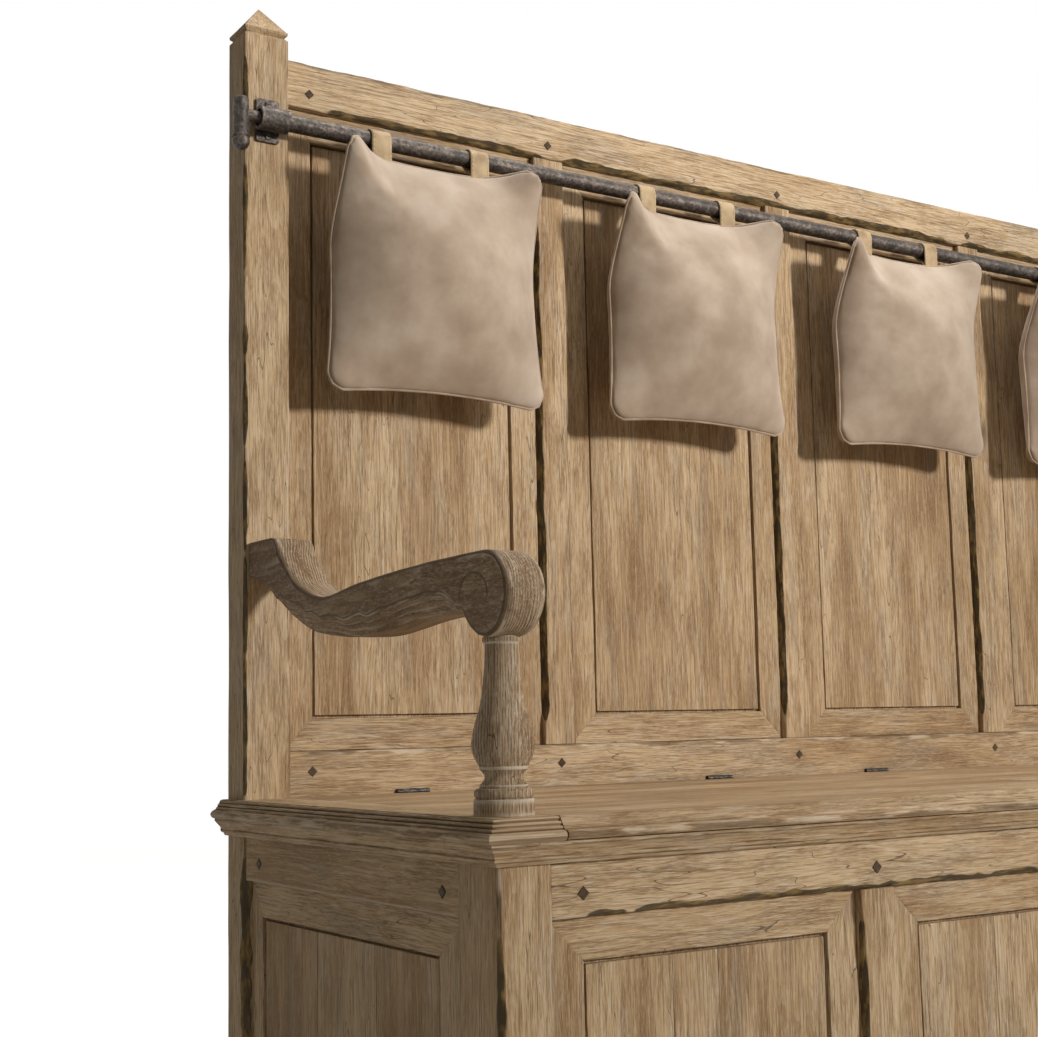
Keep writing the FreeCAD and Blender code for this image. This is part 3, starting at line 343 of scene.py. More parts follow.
        # Worn arrises and bark edges
        if self.grain is None:
            worn, rub = graph.attribute("arris"), marks(70.0, 12.0, 3.0)
            rubbed, on_bark = step(worn, 0.0, 1.0), step(graph.attribute("wane"), 0.35, 0.65)
            flakes = marks(26.0, 7.0, 4.0)
            colour = graph.lay(colour, (
                (self.pore, both(rubbed, step(rub, 0.42, 0.58)), 0.62),
                (self.lime, both(rubbed, step(rub, 0.50, 0.36)), 0.5),
                (self.lime, step(worn, -0.25, -0.85), 0.75),
                # arris values near 2 turn dark; in the seat ends' side grooves this is painted shade
                (self.pore, step(worn, 1.15, 1.8), 0.85),
                # dark bark colour: partly real bark, partly painted shade on bark edges that face down
                (self.bark, on_bark, 0.92),
                (self.bark_worn, both(on_bark, step(flakes, 0.44, 0.64)), 0.75)))
            height = graph.math("MULTIPLY_ADD", both(flakes, 3.0), on_bark, height)
        cut = check
        if self.scroll:
            cut = graph.math("MULTIPLY_ADD", self.scroll_line(graph), self.carved, check)
            # painted shade: the scroll's carved line is drawn dark as the shade inside its groove
            colour = graph.lay(colour, ((self.pore, step(cut, 0.5, 2.0), 0.8),))
        rough = graph.spread(fine, self.roughness - 0.08, self.roughness + 0.14)
        relief = graph.math("SUBTRACT", graph.math("MULTIPLY_ADD", ring_line, -0.6, height), cut)
        return graph.finish({"Base Color": colour, "Roughness": rough, "IOR": self.ior,
                             "Specular IOR Level": self.specular}, relief, 0.7, 0.5)


@dataclass(frozen=True)
class ForgedIron:
    """Wrought iron, hammered, blackened and oiled.

    Hammer marks break the highlight into patches, and rubbed high spots show brown-grey metal.
    """

    name: str = "iron, hammered and oiled"
    dark: str = "2B2623"
    body: str = "3F3833"
    rubbed: str = "625850"
    mark: float = 4.0             # hammer marks in mm
    pit: float = 1.2              # scale pits in mm
    roughness: float = 0.48
    metallic: float = 0.55        # oil and scale cover part of the metal

    def build(self) -> bpy.types.Material:
        """Build the material.

        Returns:
            The finished material.
        """
        graph = MaterialGraph(self.name)
        where = graph.where()
        inputs = {"Vector": where, "Scale": 1.0 / (self.mark * MM), "Smoothness": 0.6}
        marks = graph.add("TexVoronoi", inputs, feature="SMOOTH_F1").outputs["Distance"]
        pits = graph.noise(where, 1.0 / (self.pit * MM), 3.0)
        cloud = graph.noise(where, 0.12 / (self.pit * MM), 4.0)
        mixed = graph.math("MULTIPLY_ADD", marks, 0.45, cloud)
        colour = graph.ramp(mixed, ((0.45, self.dark), (0.68, self.body), (0.95, self.rubbed)))
        rough = graph.spread(pits, self.roughness - 0.1, self.roughness + 0.2)
        relief = graph.math("MULTIPLY_ADD", pits, 0.35, marks)
        return graph.finish({"Base Color": colour, "Metallic": self.metallic, "Roughness": rough}, relief, 0.8, 0.7)


@dataclass(frozen=True)
class Hide:
    """Cowhide, brushed to a nap as nubuck or left smooth as strap leather.

    Nubuck shows broad cloudy patches where the nap lies another way, and a soft pale edge at grazing view.
    """

    name: str
    base: str
    light: str
    dark: str
    patch: float = 60.0           # cloudy patches in mm
    nap: float = 0.9              # pores and nap are finer, drawn this coarse to show
    roughness: float = 0.86
    sheen: float = 0.35
    bump: float = 0.12            # mm

    def build(self) -> bpy.types.Material:
        """Build the material.

        Returns:
            The finished material.
        """
        graph = MaterialGraph(self.name)
        where = graph.where()
        cloud = graph.noise(where, 1.0 / (self.patch * MM), 4.0, 0.52)
        nap = graph.noise(where, 1.0 / (self.nap * MM), 3.0)
        mixed = graph.math("MULTIPLY_ADD", nap, 0.16, cloud)
        colour = graph.ramp(mixed, ((0.40, self.dark), (0.58, self.base), (0.78, self.light)))
        return graph.finish({"Base Color": colour, "Roughness": self.roughness, "Sheen Weight": self.sheen,
                             "Sheen Roughness": 0.5, "IOR": 1.45}, nap, 0.5, self.bump)


class Finishes:
    """Every finish on the bench, built once."""

    def __init__(self) -> None:
        """Build the materials."""
        self.oak = LimedOak().build()
        self.oak_bold = LimedOak(
            "oak, brushed deep and limed", pale="B59C7C", body="977C5B", brown="6A5034", ring_pitch=2.9,
            ring_depth=0.75, ring_bend=0.014, ring_lime=0.42, fine_width=1.2, fine_length=16.0,
            scroll=(-257.0, 676.0, 25.0, 21.0)).build()
        self.oak_plain = LimedOak("oak board, grain lengthwise", grain=Along.X).build()
        self.peg = LimedOak(
            "oak peg, end grain darkened", pale="66533C", body="4C3B2A", brown="392B1E", grey="5B4C3C",
            pore="281D14", lime="7C6B57", streak_length=4.0, fine_width=1.0, fine_length=2.0, grain=Along.Y).build()
        self.iron = ForgedIron().build()
        self.black_iron = ForgedIron("iron, blacked", dark="14110F", body="1F1B18", rubbed="5A524B", mark=3.0,
                                     roughness=0.38, metallic=0.4).build()
        self.nubuck = Hide("nubuck, brushed nap", base="AD9A87", light="BCAC9B", dark="9D8A77").build()
        self.welt = Hide("nubuck, welt", base="A8947F", light="B6A492", dark="96826E", patch=30.0).build()
        self.strap = Hide("strap leather, waxed", base="A9906A", light="BBA57F", dark="8A714E", patch=25.0,
                          roughness=0.6, sheen=0.1).build()
        self.thread = Hide("linen thread, waxed", base="D8CDB8", light="E4DAC8", dark="BDB09A", patch=8.0,
                           roughness=0.7, sheen=0.0).build()


# ---- meshes ----


@dataclass
class Shell:
    """A mesh being made, with what the oak finish reads at each point."""

    points: list[Point] = field(default_factory=list)
    faces: list[tuple[int, ...]] = field(default_factory=list)
    arris: list[float] = field(default_factory=list)
    wane: list[float] = field(default_factory=list)
    grain: list[Point] = field(default_factory=list)
    board: list[float] = field(default_factory=list)

    def add(self, point: Point, grain: Point = (0.0, 0.0, 0.0), arris: float = 0.0, wane: float = 0.0,
            board: float = 0.0) -> int:
        """Add one point in mm and return its number."""
        self.points.append(point)
        self.grain.append(grain)
        self.arris.append(arris)
        self.wane.append(wane)
        self.board.append(board)
        return len(self.points) - 1

    def skin(self, rings: Sequence[Sequence[int]]) -> None:
        """Join closed rings of points with quads."""
        for low, high in zip(rings, rings[1:]):
            count = len(low)
            for n in range(count):
                after = (n + 1) % count
                self.faces.append((low[n], low[after], high[after], high[n]))

    def cap(self, ring: Sequence[int], flip: bool) -> None:
        """Close a ring with a fan round its middle."""
        count = len(ring)
        mid = tuple(sum(self.points[n][k] for n in ring) / count for k in range(3))
        grain = tuple(sum(self.grain[n][k] for n in ring) / count for k in range(3))
        centre = self.add(mid, grain, 0.0, 0.0, self.board[ring[0]])
        for n in range(count):
            after = (n + 1) % count
            face = (centre, ring[after], ring[n]) if flip else (centre, ring[n], ring[after])
            self.faces.append(face)

    def tube(self, rings: Sequence[Sequence[int]]) -> None:
        """Join closed rings of points and close both ends."""
        self.skin(rings)
        self.cap(rings[0], True)
        self.cap(rings[-1], False)

    def finish(self, name: str, material: bpy.types.Material, sharp: float = 38.0) -> bpy.types.Object:
        """Turn the points into an object.

        Args:
            name: the piece's name.
            material: its finish.
            sharp: edges steeper than this many degrees stay crisp.

        Returns:
            The object, with outward faces.
        """
        mesh = bpy.data.meshes.new(name)
        mesh.from_pydata([[c * MM for c in p] for p in self.points], [], self.faces)
        for label, values in (("arris", self.arris), ("wane", self.wane), ("board", self.board)):
            mesh.attributes.new(label, "FLOAT", "POINT").data.foreach_set("value", values)
        flat = [c * MM for p in self.grain for c in p]
        mesh.attributes.new("grain_at", "FLOAT_VECTOR", "POINT").data.foreach_set("vector", flat)
        mesh.materials.append(material)
        mesh.validate()
        outward(mesh)
        mesh.shade_smooth()
        mesh.set_sharp_from_angle(angle=math.radians(sharp))
        piece = bpy.data.objects.new(name, mesh)
        bpy.context.scene.collection.objects.link(piece)
        return piece


def outward(mesh: bpy.types.Mesh) -> None:
    """Turn every face of a mesh outwards."""
    work = bmesh.new()
    work.from_mesh(mesh)
    bmesh.ops.recalc_face_normals(work, faces=work.faces)
    work.to_mesh(mesh)
    work.free()


def wander(x: float, y: float, seed: float) -> float:
    """Smooth noise from -1 to 1 at a place in its own units."""
    return noise.noise(Vector((x, y, seed * 7.31)))


def settle(piece: bpy.types.Object, body: str, nodes: Sequence[str] = ()) -> bpy.types.Object:
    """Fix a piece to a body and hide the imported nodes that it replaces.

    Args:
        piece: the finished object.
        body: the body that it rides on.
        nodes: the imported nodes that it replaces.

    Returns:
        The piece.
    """
    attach(piece, body)
    if nodes:
        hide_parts(*nodes)
    return piece


@dataclass(frozen=True)
class Wane:
    """A bark edge left on one long arris of a board."""

    corner: tuple[int, int]       # -1 or 1 along the board's two section axes
    start: float                  # from the board's low end in mm
    stop: float
    across: float                 # on the first section axis
    deep: float                   # on the second
    bark: float = 1.0             # 0 is pale worn wood, 1 dark bark
    ragged: float = 0.45
    worn: float = 1.0             # the arris's look: -1 limed, 1 rubbed in patches, 2 dark
    fade: float = 0.0             # the length over which it starts and stops, 0 for a usual one


@dataclass
class Board:
    """A hewn length of oak with worn arrises, bark edges and shaped ends."""

    low: Point
    high: Point
    along: Along
    number: int
    wear: float = 1.3
    wanes: Sequence[Wane] = ()
    mitre: tuple[float, float] = (0.0, 0.0)   # lengthwise shift per mm from the outer edge, at each end
    outer: tuple[int, int] = (0, 1)           # the section side that is outermost, for the mitres
    waists: Sequence[tuple[float, float, float]] = ()   # place from the low end, inset, taper
    step: float = 9.0
    heave: float = 0.35
    heart: float = 70.0
    flip: bool = False                        # swaps the section axes for the rings
    tone: Optional[float] = None              # 0 is dark and 1 pale; none picks one from the number

    def axes(self) -> tuple[int, int, int]:
        """The indexes of the length and of the two section axes."""
        a = self.along.value
        b, c = [n for n in range(3) if n != a]
        return a, b, c

    def waist_at(self, place: float) -> tuple[float, float]:
        """The inset and taper at a place along the board."""
        if not self.waists:
            return 0.0, 0.0
        before = (0.0, 0.0, 0.0)
        for spot in self.waists:
            if place <= spot[0]:
                span = spot[0] - before[0]
                part = (place - before[0]) / span if span > 0 else 1.0
                return before[1] + (spot[1] - before[1]) * part, before[2] + (spot[2] - before[2]) * part
            before = spot
        return before[1], before[2]

    def stations(self, length: float) -> list[float]:
        """Places along the board where it has a section."""
        count = max(3, int(length / self.step))
        places = {0.0, self.end_wear(), length - self.end_wear(), length, *(spot[0] for spot in self.waists)}
        places.update(length * n / count for n in range(1, count))
        ordered = sorted(p for p in places if 0.0 <= p <= length)
        return [p for n, p in enumerate(ordered) if n == 0 or p - ordered[n - 1] > 0.05]

    def end_wear(self) -> float:
        """How far the end's arrises are worn."""
        return min(0.9, self.wear * 0.7)

    def wane_at(self, wane: Wane, place: float) -> float:
        """How much of a bark edge there is at a place, from 0 up to about 1.4."""
        if place <= wane.start or place >= wane.stop:
            return 0.0
        near = min(place - wane.start, wane.stop - place)
        ease = min(1.0, near / (wane.fade or max(16.0, wane.across * 5.0)))
        rough = wander(place / 55.0, wane.start, self.number) + 0.5 * wander(place / 17.0, 3.0, self.number)
        return max(0.05, ease * (1.0 + wane.ragged * 1.6 * rough))

    def section(self, place: float, half: Sequence[float], scale: float) -> list[tuple[float, float, float, float]]:
        """The outline at a place: four worn corners, with points along the flats between them.

        Args:
            place: from the low end.
            half: half the width on each section axis.
            scale: what the taper leaves of the wear.

        Returns:
            For each point its two places from the middle, how worn it is and how much bark it has.
        """
        corners = []
        for number, (sb, sc) in enumerate(((-1, -1), (1, -1), (1, 1), (-1, 1))):
            size_b = size_c = self.wear * (0.75 + 0.5 * wander(place / 40.0, number * 5.0, self.number))
            bark, look = 0.0, 1.0
            for wane in self.wanes:
                if wane.corner == (sb, sc):
                    part = self.wane_at(wane, place)
                    look = wane.worn if part > 0.0 else look
                    size_b, size_c = size_b + wane.across * part, size_c + wane.deep * part
                    bark = max(bark, min(1.0, part * 2.0) * wane.bark)
            size_b, size_c = min(size_b, half[0] * 0.9) * scale, min(size_c, half[1] * 0.9) * scale
            flat = min(2.2, max(0.2, 0.21 * min(half))) * scale
            pull = 0.3 if bark < 0.1 else 0.42
            edge_b, edge_c = sb * half[0], sc * half[1]
            corner = [(edge_b - sb * (size_b + flat), edge_c, 0.0, 0.0),
                      (edge_b - sb * size_b, edge_c, 0.7 * look, bark),
                      (edge_b - sb * size_b * pull, edge_c - sc * size_c * pull, look, bark),
                      (edge_b, edge_c - sc * size_c, 0.7 * look, bark),
                      (edge_b, edge_c - sc * (size_c + flat), 0.0, 0.0)]
            corners.append(corner[::-1] if sb == sc else corner)
        outline = []
        for number, corner in enumerate(corners):
            outline += corner
            first, last = corner[-1], corners[(number + 1) % 4][0]
            axis = self.axes()[1 + number % 2]
            parts = max(1, int((self.high[axis] - self.low[axis]) / 22.0))
            for n in range(1, parts + 1):
                t = n / (parts + 1.0)
                outline.append((first[0] + (last[0] - first[0]) * t, first[1] + (last[1] - first[1]) * t, 0.0, 0.0))
        return outline

    def into(self, shell: Shell) -> None:
        """Add the board to a shell."""
        a, b, c = self.axes()
        length = self.high[a] - self.low[a]
        tone = 0.5 + 0.5 * wander(self.number * 3.7, 1.3, self.number * 0.61) if self.tone is None else self.tone
        heart_b = 28.0 * wander(self.number * 1.9, 7.7, 2.0)
        middle = [(self.low[k] + self.high[k]) / 2.0 for k in range(3)]
        rings = []
        for place in self.stations(length):
            inset, taper = self.waist_at(place)
            if place <= 0.0 or place >= length:
                inset += self.end_wear()
            half = [((self.high[k] - self.low[k]) / 2.0 - inset) * (1.0 - taper) for k in (b, c)]
            ring = []
            for pb, pc, worn, bark in self.section(place, half, 1.0 - taper):
                edge = abs(pb - self.outer[0] * half[0]) if self.outer[0] else abs(pc - self.outer[1] * half[1])
                start, stop = self.mitre[0] * edge, length - self.mitre[1] * edge
                where = start + (stop - start) * place / length
                lift = self.heave * wander(where / 90.0, (pb + pc) / 28.0, self.number) - self.heave * 0.6
                if bark > 0.3:
                    lift += 1.5 * wander(where / 9.0, pb / 5.0, self.number + 0.5) * bark
                if place <= 0.0 or place >= length or inset > 0.0:
                    lift = min(lift, 0.0)
                reach = max(1e-6, math.hypot(pb, pc))
                point = [0.0, 0.0, 0.0]
                point[a] = self.low[a] + where
                point[b] = middle[b] + pb + pb / reach * lift
                point[c] = middle[c] + pc + pc / reach * lift
                across = (pc, pb) if self.flip else (pb, pc)
                grain = (where, across[0] + heart_b, across[1] + self.heart)
                ring.append(shell.add(tuple(point), grain, worn, bark, tone))
            rings.append(ring)
        shell.tube(rings)


def frame_boards(name: str, node: str, boards: Iterable[Board], material: bpy.types.Material) -> None:
    """Make one object of one or more boards, in place of a node of the frame.

    Args:
        name: the piece's name.
        node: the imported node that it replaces.
        boards: its boards.
        material: its finish.
    """
    shell = Shell()
    for board in boards:
        board.into(shell)
    settle(shell.finish(name, material), "frame", [node])


# ---- joinery ----

REAR_POST_X = (847.0, 908.0)
REAR_POST_Y = (273.0, 324.0)
POST_TOP = 1483.5
FRONT_POST_X = (850.0, 908.0)
FRONT_POST_Y = (-301.0, -229.0)
BACK_RAIL_Y = (287.0, 315.0)
BACK_RAIL_Z = (440.0, 1420.0)             # the lower rail's under side and the upper rail's top
BACK_FIELD_Z = (526.0, 1357.0)
CHEST_RAIL_Y = (-299.0, -271.0)
CHEST_RAIL_FOOT = 60.0
CHEST_FIELD_Z = (130.0, 375.0)
SIDE_RAIL_X = (878.0, 906.0)
BAY_PITCH = 436.0
DIVIDERS_X = (-BAY_PITCH, 0.0, BAY_PITCH)
DIVIDER_HALF = 25.0
SEAT_UNDER = 447.5
SEAT_TOP = 470.0
SIDES = ((-1, "left"), (1, "right"))


def bays(end: float) -> list[tuple[float, float]]:
    """The left and right edge of each opening between the dividers, with the posts' faces at -end and end."""
    edges = [-end, *(x + step for x in DIVIDERS_X for step in (-DIVIDER_HALF, DIVIDER_HALF)), end]
    return list(zip(edges[::2], edges[1::2]))


class Assembly:
    """A part of the bench that is built in steps."""

    def __init__(self, finishes: Finishes) -> None:
        """Keep the finishes."""
        self.finishes = finishes
        self.oak = finishes.oak

    def steps(self) -> Iterable[Callable[[], None]]:
        """The steps in order."""
        raise NotImplementedError

    def build(self) -> None:
        """Build the part."""
        for step in self.steps():
            step()
            LOG.info("%s: %s", type(self).__name__, step.__name__)


@dataclass
class Field:
    """One opening of a panelled frame, its mitred strips and its loose panel.

    The panel stands 2 mm behind its strips with a dark shrinkage gap all round, as old joinery does.
    """

    low: tuple[float, float]              # along the wall and height
    high: tuple[float, float]
    face: float                           # the rails' face
    inward: int                           # 1 or -1 along the wall's normal
    side_wall: bool                       # the wall runs along Y instead of X
    number: int
    strips: tuple[float, float] = (41.0, 41.0)
    strip_height: float = 41.0
    step: float = 9.0
    strip_thickness: float = 8.0
    inset: float = 2.0
    gap: float = 3.5
    tongue: float = 4.0
    planks: tuple[float, ...] = (0.0, 0.42, 1.0)
    tone: Optional[float] = None          # the strips' tone

    def corners(self, u0: float, u1: float, z0: float, z1: float, d0: float, d1: float) -> tuple[Point, Point]:
        """Low and high corners of a box given along the wall, in height and in depth behind the face."""
        a, b = sorted((self.face + self.inward * d0, self.face + self.inward * d1))
        if self.side_wall:
            return (a, u0, z0), (b, u1, z1)
        return (u0, a, z0), (u1, b, z1)

    def strip_boards(self) -> list[Board]:
        """The four mitred strips."""
        depth = (self.step, self.step + self.strip_thickness)
        run = Along.Y if self.side_wall else Along.X
        slopes = (self.strips[0] / self.strip_height, self.strips[1] / self.strip_height)
        steep = (self.strip_height / self.strips[0], self.strip_height / self.strips[1])
        u0, u1, z0, z1 = self.low[0], self.high[0], self.low[1], self.high[1]
        upright_outer = ((0, -1), (0, 1)) if self.side_wall else ((-1, 0), (1, 0))
        boards = []
        for n, (base, top, side) in enumerate(((z0, z0 + self.strip_height, -1), (z1 - self.strip_height, z1, 1))):
            low, high = self.corners(u0, u1, base, top, *depth)
            boards.append(Board(low, high, run, self.number + n, wear=0.8, mitre=slopes, outer=(0, side),
                                tone=self.tone))
        for n, (left, right) in enumerate(((u0, u0 + self.strips[0]), (u1 - self.strips[1], u1))):
            low, high = self.corners(left, right, z0, z1, *depth)
            boards.append(Board(low, high, Along.Z, self.number + 2 + n, wear=0.8, mitre=(steep[n], steep[n]),
                                outer=upright_outer[n], tone=self.tone))
        return boards

    def panel_boards(self) -> list[Board]:
        """The panel's planks, and the thinner board behind them that runs in the grooves."""
        front, start = self.step + self.inset, self.step + self.strip_thickness
        u0 = self.low[0] + self.strips[0] + self.gap
        u1 = self.high[0] - self.strips[1] - self.gap
        z0 = self.low[1] + self.strip_height + self.gap
        z1 = self.high[1] - self.strip_height - self.gap
        boards = []
        for n, (left, right) in enumerate(zip(self.planks, self.planks[1:])):
            low, high = self.corners(u0 + (u1 - u0) * left, u0 + (u1 - u0) * right, z0, z1, front, start + 0.3)
            boards.append(Board(low, high, Along.Z, self.number + 10 + n, wear=0.7, flip=self.side_wall))
        low, high = self.corners(self.low[0] - 4.0, self.high[0] + 4.0, self.low[1] - 4.0, self.high[1] + 4.0,
                                 start, start + self.tongue)
        boards.append(Board(low, high, Along.Z, self.number + 20, wear=0.5, step=30.0, flip=self.side_wall))
        return boards


class PanelledBack(Assembly):
    """The high back: two posts with pointed caps, two rails, three dividers and four panels."""

    POST_CAP = ((1437.0, 0.0, 0.0), (1441.0, 4.0, 0.0), (1444.5, 0.4, 0.0), (1447.5, 0.0, 0.0),
                (1449.0, 0.6, 0.04), (POST_TOP, 0.0, 0.985))

    def posts(self) -> None:
        """The two rear posts, full height, with a groove and a pyramid at the top."""
        for side, name in SIDES:
            x0, x1 = sorted((side * REAR_POST_X[0], side * REAR_POST_X[1]))
            wanes = (Wane((side, -1), 8.0, 410.0, 6.0, 8.0, 0.9, 0.6),
                     Wane((side, -1), 470.0, 1060.0, 1.6, 2.4, 0.8, 0.9),
                     Wane((side, -1), 1120.0, 1434.0, 2.2, 2.6, 0.9, 0.8),
                     Wane((-side, -1), 600.0, 900.0, 1.5, 1.6, 0.2, 0.8))
            board = Board((x0, REAR_POST_Y[0], 0.0), (x1, REAR_POST_Y[1], POST_TOP), Along.Z, 3 + side, wear=1.5,
                          wanes=wanes, waists=((1436.5, 0.0, 0.0),) + self.POST_CAP, heave=0.5)
            frame_boards("rear_post_" + name + "_hewn", "rear_post_" + name, [board], self.oak)

    def rails(self) -> None:
        """The top and bottom rails; the top one keeps bark along its lower edge."""
        x = REAR_POST_X[0]
        low_wanes = (Wane((-1, -1), 58.0, 410.0, 5.5, 6.5, 1.0), Wane((-1, -1), 432.0, 1240.0, 5.0, 6.0, 1.0),
                     Wane((-1, -1), 1262.0, 1640.0, 5.5, 6.5, 1.0), Wane((-1, 1), 0.0, 900.0, 1.6, 2.0, 0.5, 0.9))
        top = Board((-x, BACK_RAIL_Y[0], BACK_FIELD_Z[1]), (x, BACK_RAIL_Y[1], BACK_RAIL_Z[1]), Along.X, 11, wear=1.6,
                    wanes=low_wanes, tone=1.0)
        frame_boards("back_top_rail_hewn", "back_top_rail", [top], self.oak)
        spans = ((12.0, 380.0), (440.0, 815.0), (880.0, 1250.0), (1310.0, 1680.0))
        wanes = tuple(Wane((-1, 1), a, b, 3.0, 3.4, 0.0, 0.5) for a, b in spans)
        bottom = Board((-x, BACK_RAIL_Y[0], BACK_RAIL_Z[0]), (x, BACK_RAIL_Y[1], BACK_FIELD_Z[0]), Along.X, 12,
                       wear=1.4, wanes=wanes)
        frame_boards("back_bottom_rail_hewn", "back_bottom_rail", [bottom], self.oak)

    def dividers(self) -> None:
        """The three uprights with stopped bark edges."""
        for n, x in enumerate(DIVIDERS_X):
            height = BACK_FIELD_Z[1] - BACK_FIELD_Z[0]
            wanes = (Wane((-1, -1), 27.0, height - 40.0, 4.5, 8.0, 1.0, 0.35),
                     Wane((1, -1), 60.0, height * 0.55, 2.0, 3.0, 0.5, 0.7))
            board = Board((x - DIVIDER_HALF, BACK_RAIL_Y[0], BACK_FIELD_Z[0]),
                          (x + DIVIDER_HALF, BACK_RAIL_Y[1], BACK_FIELD_Z[1]), Along.Z, 21 + n, wear=1.3,
                          wanes=wanes)
            node = "back_divider_%d" % (n + 1)
            frame_boards(node + "_hewn", node, [board], self.oak)

    def panels(self) -> None:
        """Four panels and the mitred strips round them."""
        z0, z1 = BACK_FIELD_Z
        strips = []
        for n, (left, right) in enumerate(bays(REAR_POST_X[0])):
            place = Field((left, z0), (right, z1), BACK_RAIL_Y[0], 1, False, 40 + 30 * n, planks=(0.0, 1.0))
            strips += place.strip_boards()
            node = "back_panel_%d" % (n + 1)
            frame_boards(node + "_planks", node, place.panel_boards(), self.oak)
        frame_boards("back_panel_strips", "back_panel_frames", strips, self.oak)

    def steps(self) -> Iterable[Callable[[], None]]:
        """The steps in order."""
        return self.posts, self.rails, self.dividers, self.panels


class Chest(Assembly):
    """The panelled box under the seat."""

    def posts(self) -> None:
        """The two front posts, dark and worn along their outer corner."""
        for side, name in SIDES:
            x0, x1 = sorted((side * FRONT_POST_X[0], side * FRONT_POST_X[1]))
            wanes = (Wane((side, -1), 0.0, 446.0, 6.0, 6.5, 0.95, 0.55, fade=210.0),)
            board = Board((x0, FRONT_POST_Y[0], 0.0), (x1, FRONT_POST_Y[1], SEAT_UNDER), Along.Z, 7 + side,
                          wear=2.0, wanes=wanes, heave=0.5, step=4.0)
            frame_boards("front_post_" + name + "_hewn", "front_post_" + name, [board], self.oak)

    def rails(self) -> None:
        """The front and side rails and the front's short dividers."""
        x = FRONT_POST_X[0]
        z0, z1 = CHEST_FIELD_Z
        wanes = (Wane((-1, -1), 34.0, 800.0, 3.2, 3.6, 0.75, 0.8), Wane((-1, -1), 905.0, 1660.0, 3.2, 3.6, 0.75, 0.8))
        top = Board((-x, CHEST_RAIL_Y[0], z1), (x, CHEST_RAIL_Y[1], SEAT_UNDER), Along.X, 13, wear=1.4,
                    wanes=wanes, tone=0.9)
        frame_boards("front_top_rail_hewn", "front_top_rail", [top], self.oak)
        low = Board((-x, CHEST_RAIL_Y[0], CHEST_RAIL_FOOT), (x, CHEST_RAIL_Y[1], z0), Along.X, 14, wear=2.0,
                    wanes=(Wane((-1, 1), 30.0, 1660.0, 2.4, 2.6, 0.2, 0.7),))
        frame_boards("front_bottom_rail_hewn", "front_bottom_rail", [low], self.oak)
        boards = [Board((d - DIVIDER_HALF, CHEST_RAIL_Y[0], z0), (d + DIVIDER_HALF, CHEST_RAIL_Y[1], z1),
                        Along.Z, 26 + n, wanes=(Wane((-1, -1), 25.0, 220.0, 3.5, 5.0, 0.8),))
                  for n, d in enumerate(DIVIDERS_X)]
        frame_boards("front_dividers_hewn", "front_dividers", boards, self.oak)
        for side, name in SIDES:
            a, b = sorted((side * SIDE_RAIL_X[0], side * SIDE_RAIL_X[1]))
            rows = (("side_top_rail_", z1, SEAT_UNDER), ("side_bottom_rail_", CHEST_RAIL_FOOT, z0))
            for n, (node, base, head) in enumerate(rows):
                edge = (Wane((side, -1 if n == 0 else 1), 0.0, 502.0, 1.4, 2.0, 0.0, 0.5, worn=-0.65),)
                # Tone 0.22 darkens the side rails: partly their board tone, partly painted shade against the side
                # strips.
                board = Board((a, FRONT_POST_Y[1], base), (b, REAR_POST_Y[0], head), Along.Y, 31 + n + 3 * side,
                              wanes=edge, tone=0.22)
                frame_boards(node + name + "_hewn", node + name, [board], self.oak)

    def panels(self) -> None:
        """The front's four panels and one at each side."""
        z0, z1 = CHEST_FIELD_Z
        splits = ((0.0, 0.34, 0.53, 1.0), (0.0, 0.4, 1.0), (0.0, 0.5, 0.72, 1.0), (0.0, 0.6, 1.0))
        strips = []
        for n, (left, right) in enumerate(bays(FRONT_POST_X[0])):
            place = Field((left, z0), (right, z1), CHEST_RAIL_Y[0], 1, False, 200 + 30 * n, planks=splits[n])
            strips += place.strip_boards()
            node = "front_panel_%d" % (n + 1)
            frame_boards(node + "_planks", node, place.panel_boards(), self.oak)
        frame_boards("front_panel_strips", "front_panel_frames", strips, self.oak)
        for side, name in SIDES:
            # Tone 0.85 makes the side strips pale: partly their board tone, partly painted light, as if lit more than
            # the rails.
            place = Field((FRONT_POST_Y[1], z0), (REAR_POST_Y[0], z1), side * SIDE_RAIL_X[1], -side, True,
                          360 + 30 * side, strips=(56.0, 31.0), planks=(0.0, 0.32, 0.66, 1.0), tone=0.85)
            frame_boards("side_panel_" + name + "_planks", "side_panel_" + name, place.panel_boards(), self.oak)
            frame_boards("side_panel_strips_" + name, "side_panel_frame_" + name, place.strip_boards(), self.oak)

    def inside(self) -> None:
        """The floor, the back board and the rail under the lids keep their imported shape."""
        for node in ("chest_floor", "chest_back", "rear_seat_rail"):
            finish_node(node, self.finishes.oak_plain, 1.0)

    def steps(self) -> Iterable[Callable[[], None]]:
        """The steps in order."""
        return self.posts, self.rails, self.panels, self.inside


def finish_node(node: str, material: bpy.types.Material, worn: float) -> None:
    """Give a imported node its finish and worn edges.

    Args:
        node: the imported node.
        material: its finish.
        worn: the worn edges' width in mm.
    """
    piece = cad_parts[node]
    piece.data.materials.clear()
    piece.data.materials.append(material)
    bevel = piece.modifiers.new("worn edges", "BEVEL")
    bevel.width = worn * MM
    bevel.segments = 2
    bevel.limit_method = "ANGLE"
    bevel.angle_limit = math.radians(35.0)
    bevel.harden_normals = False


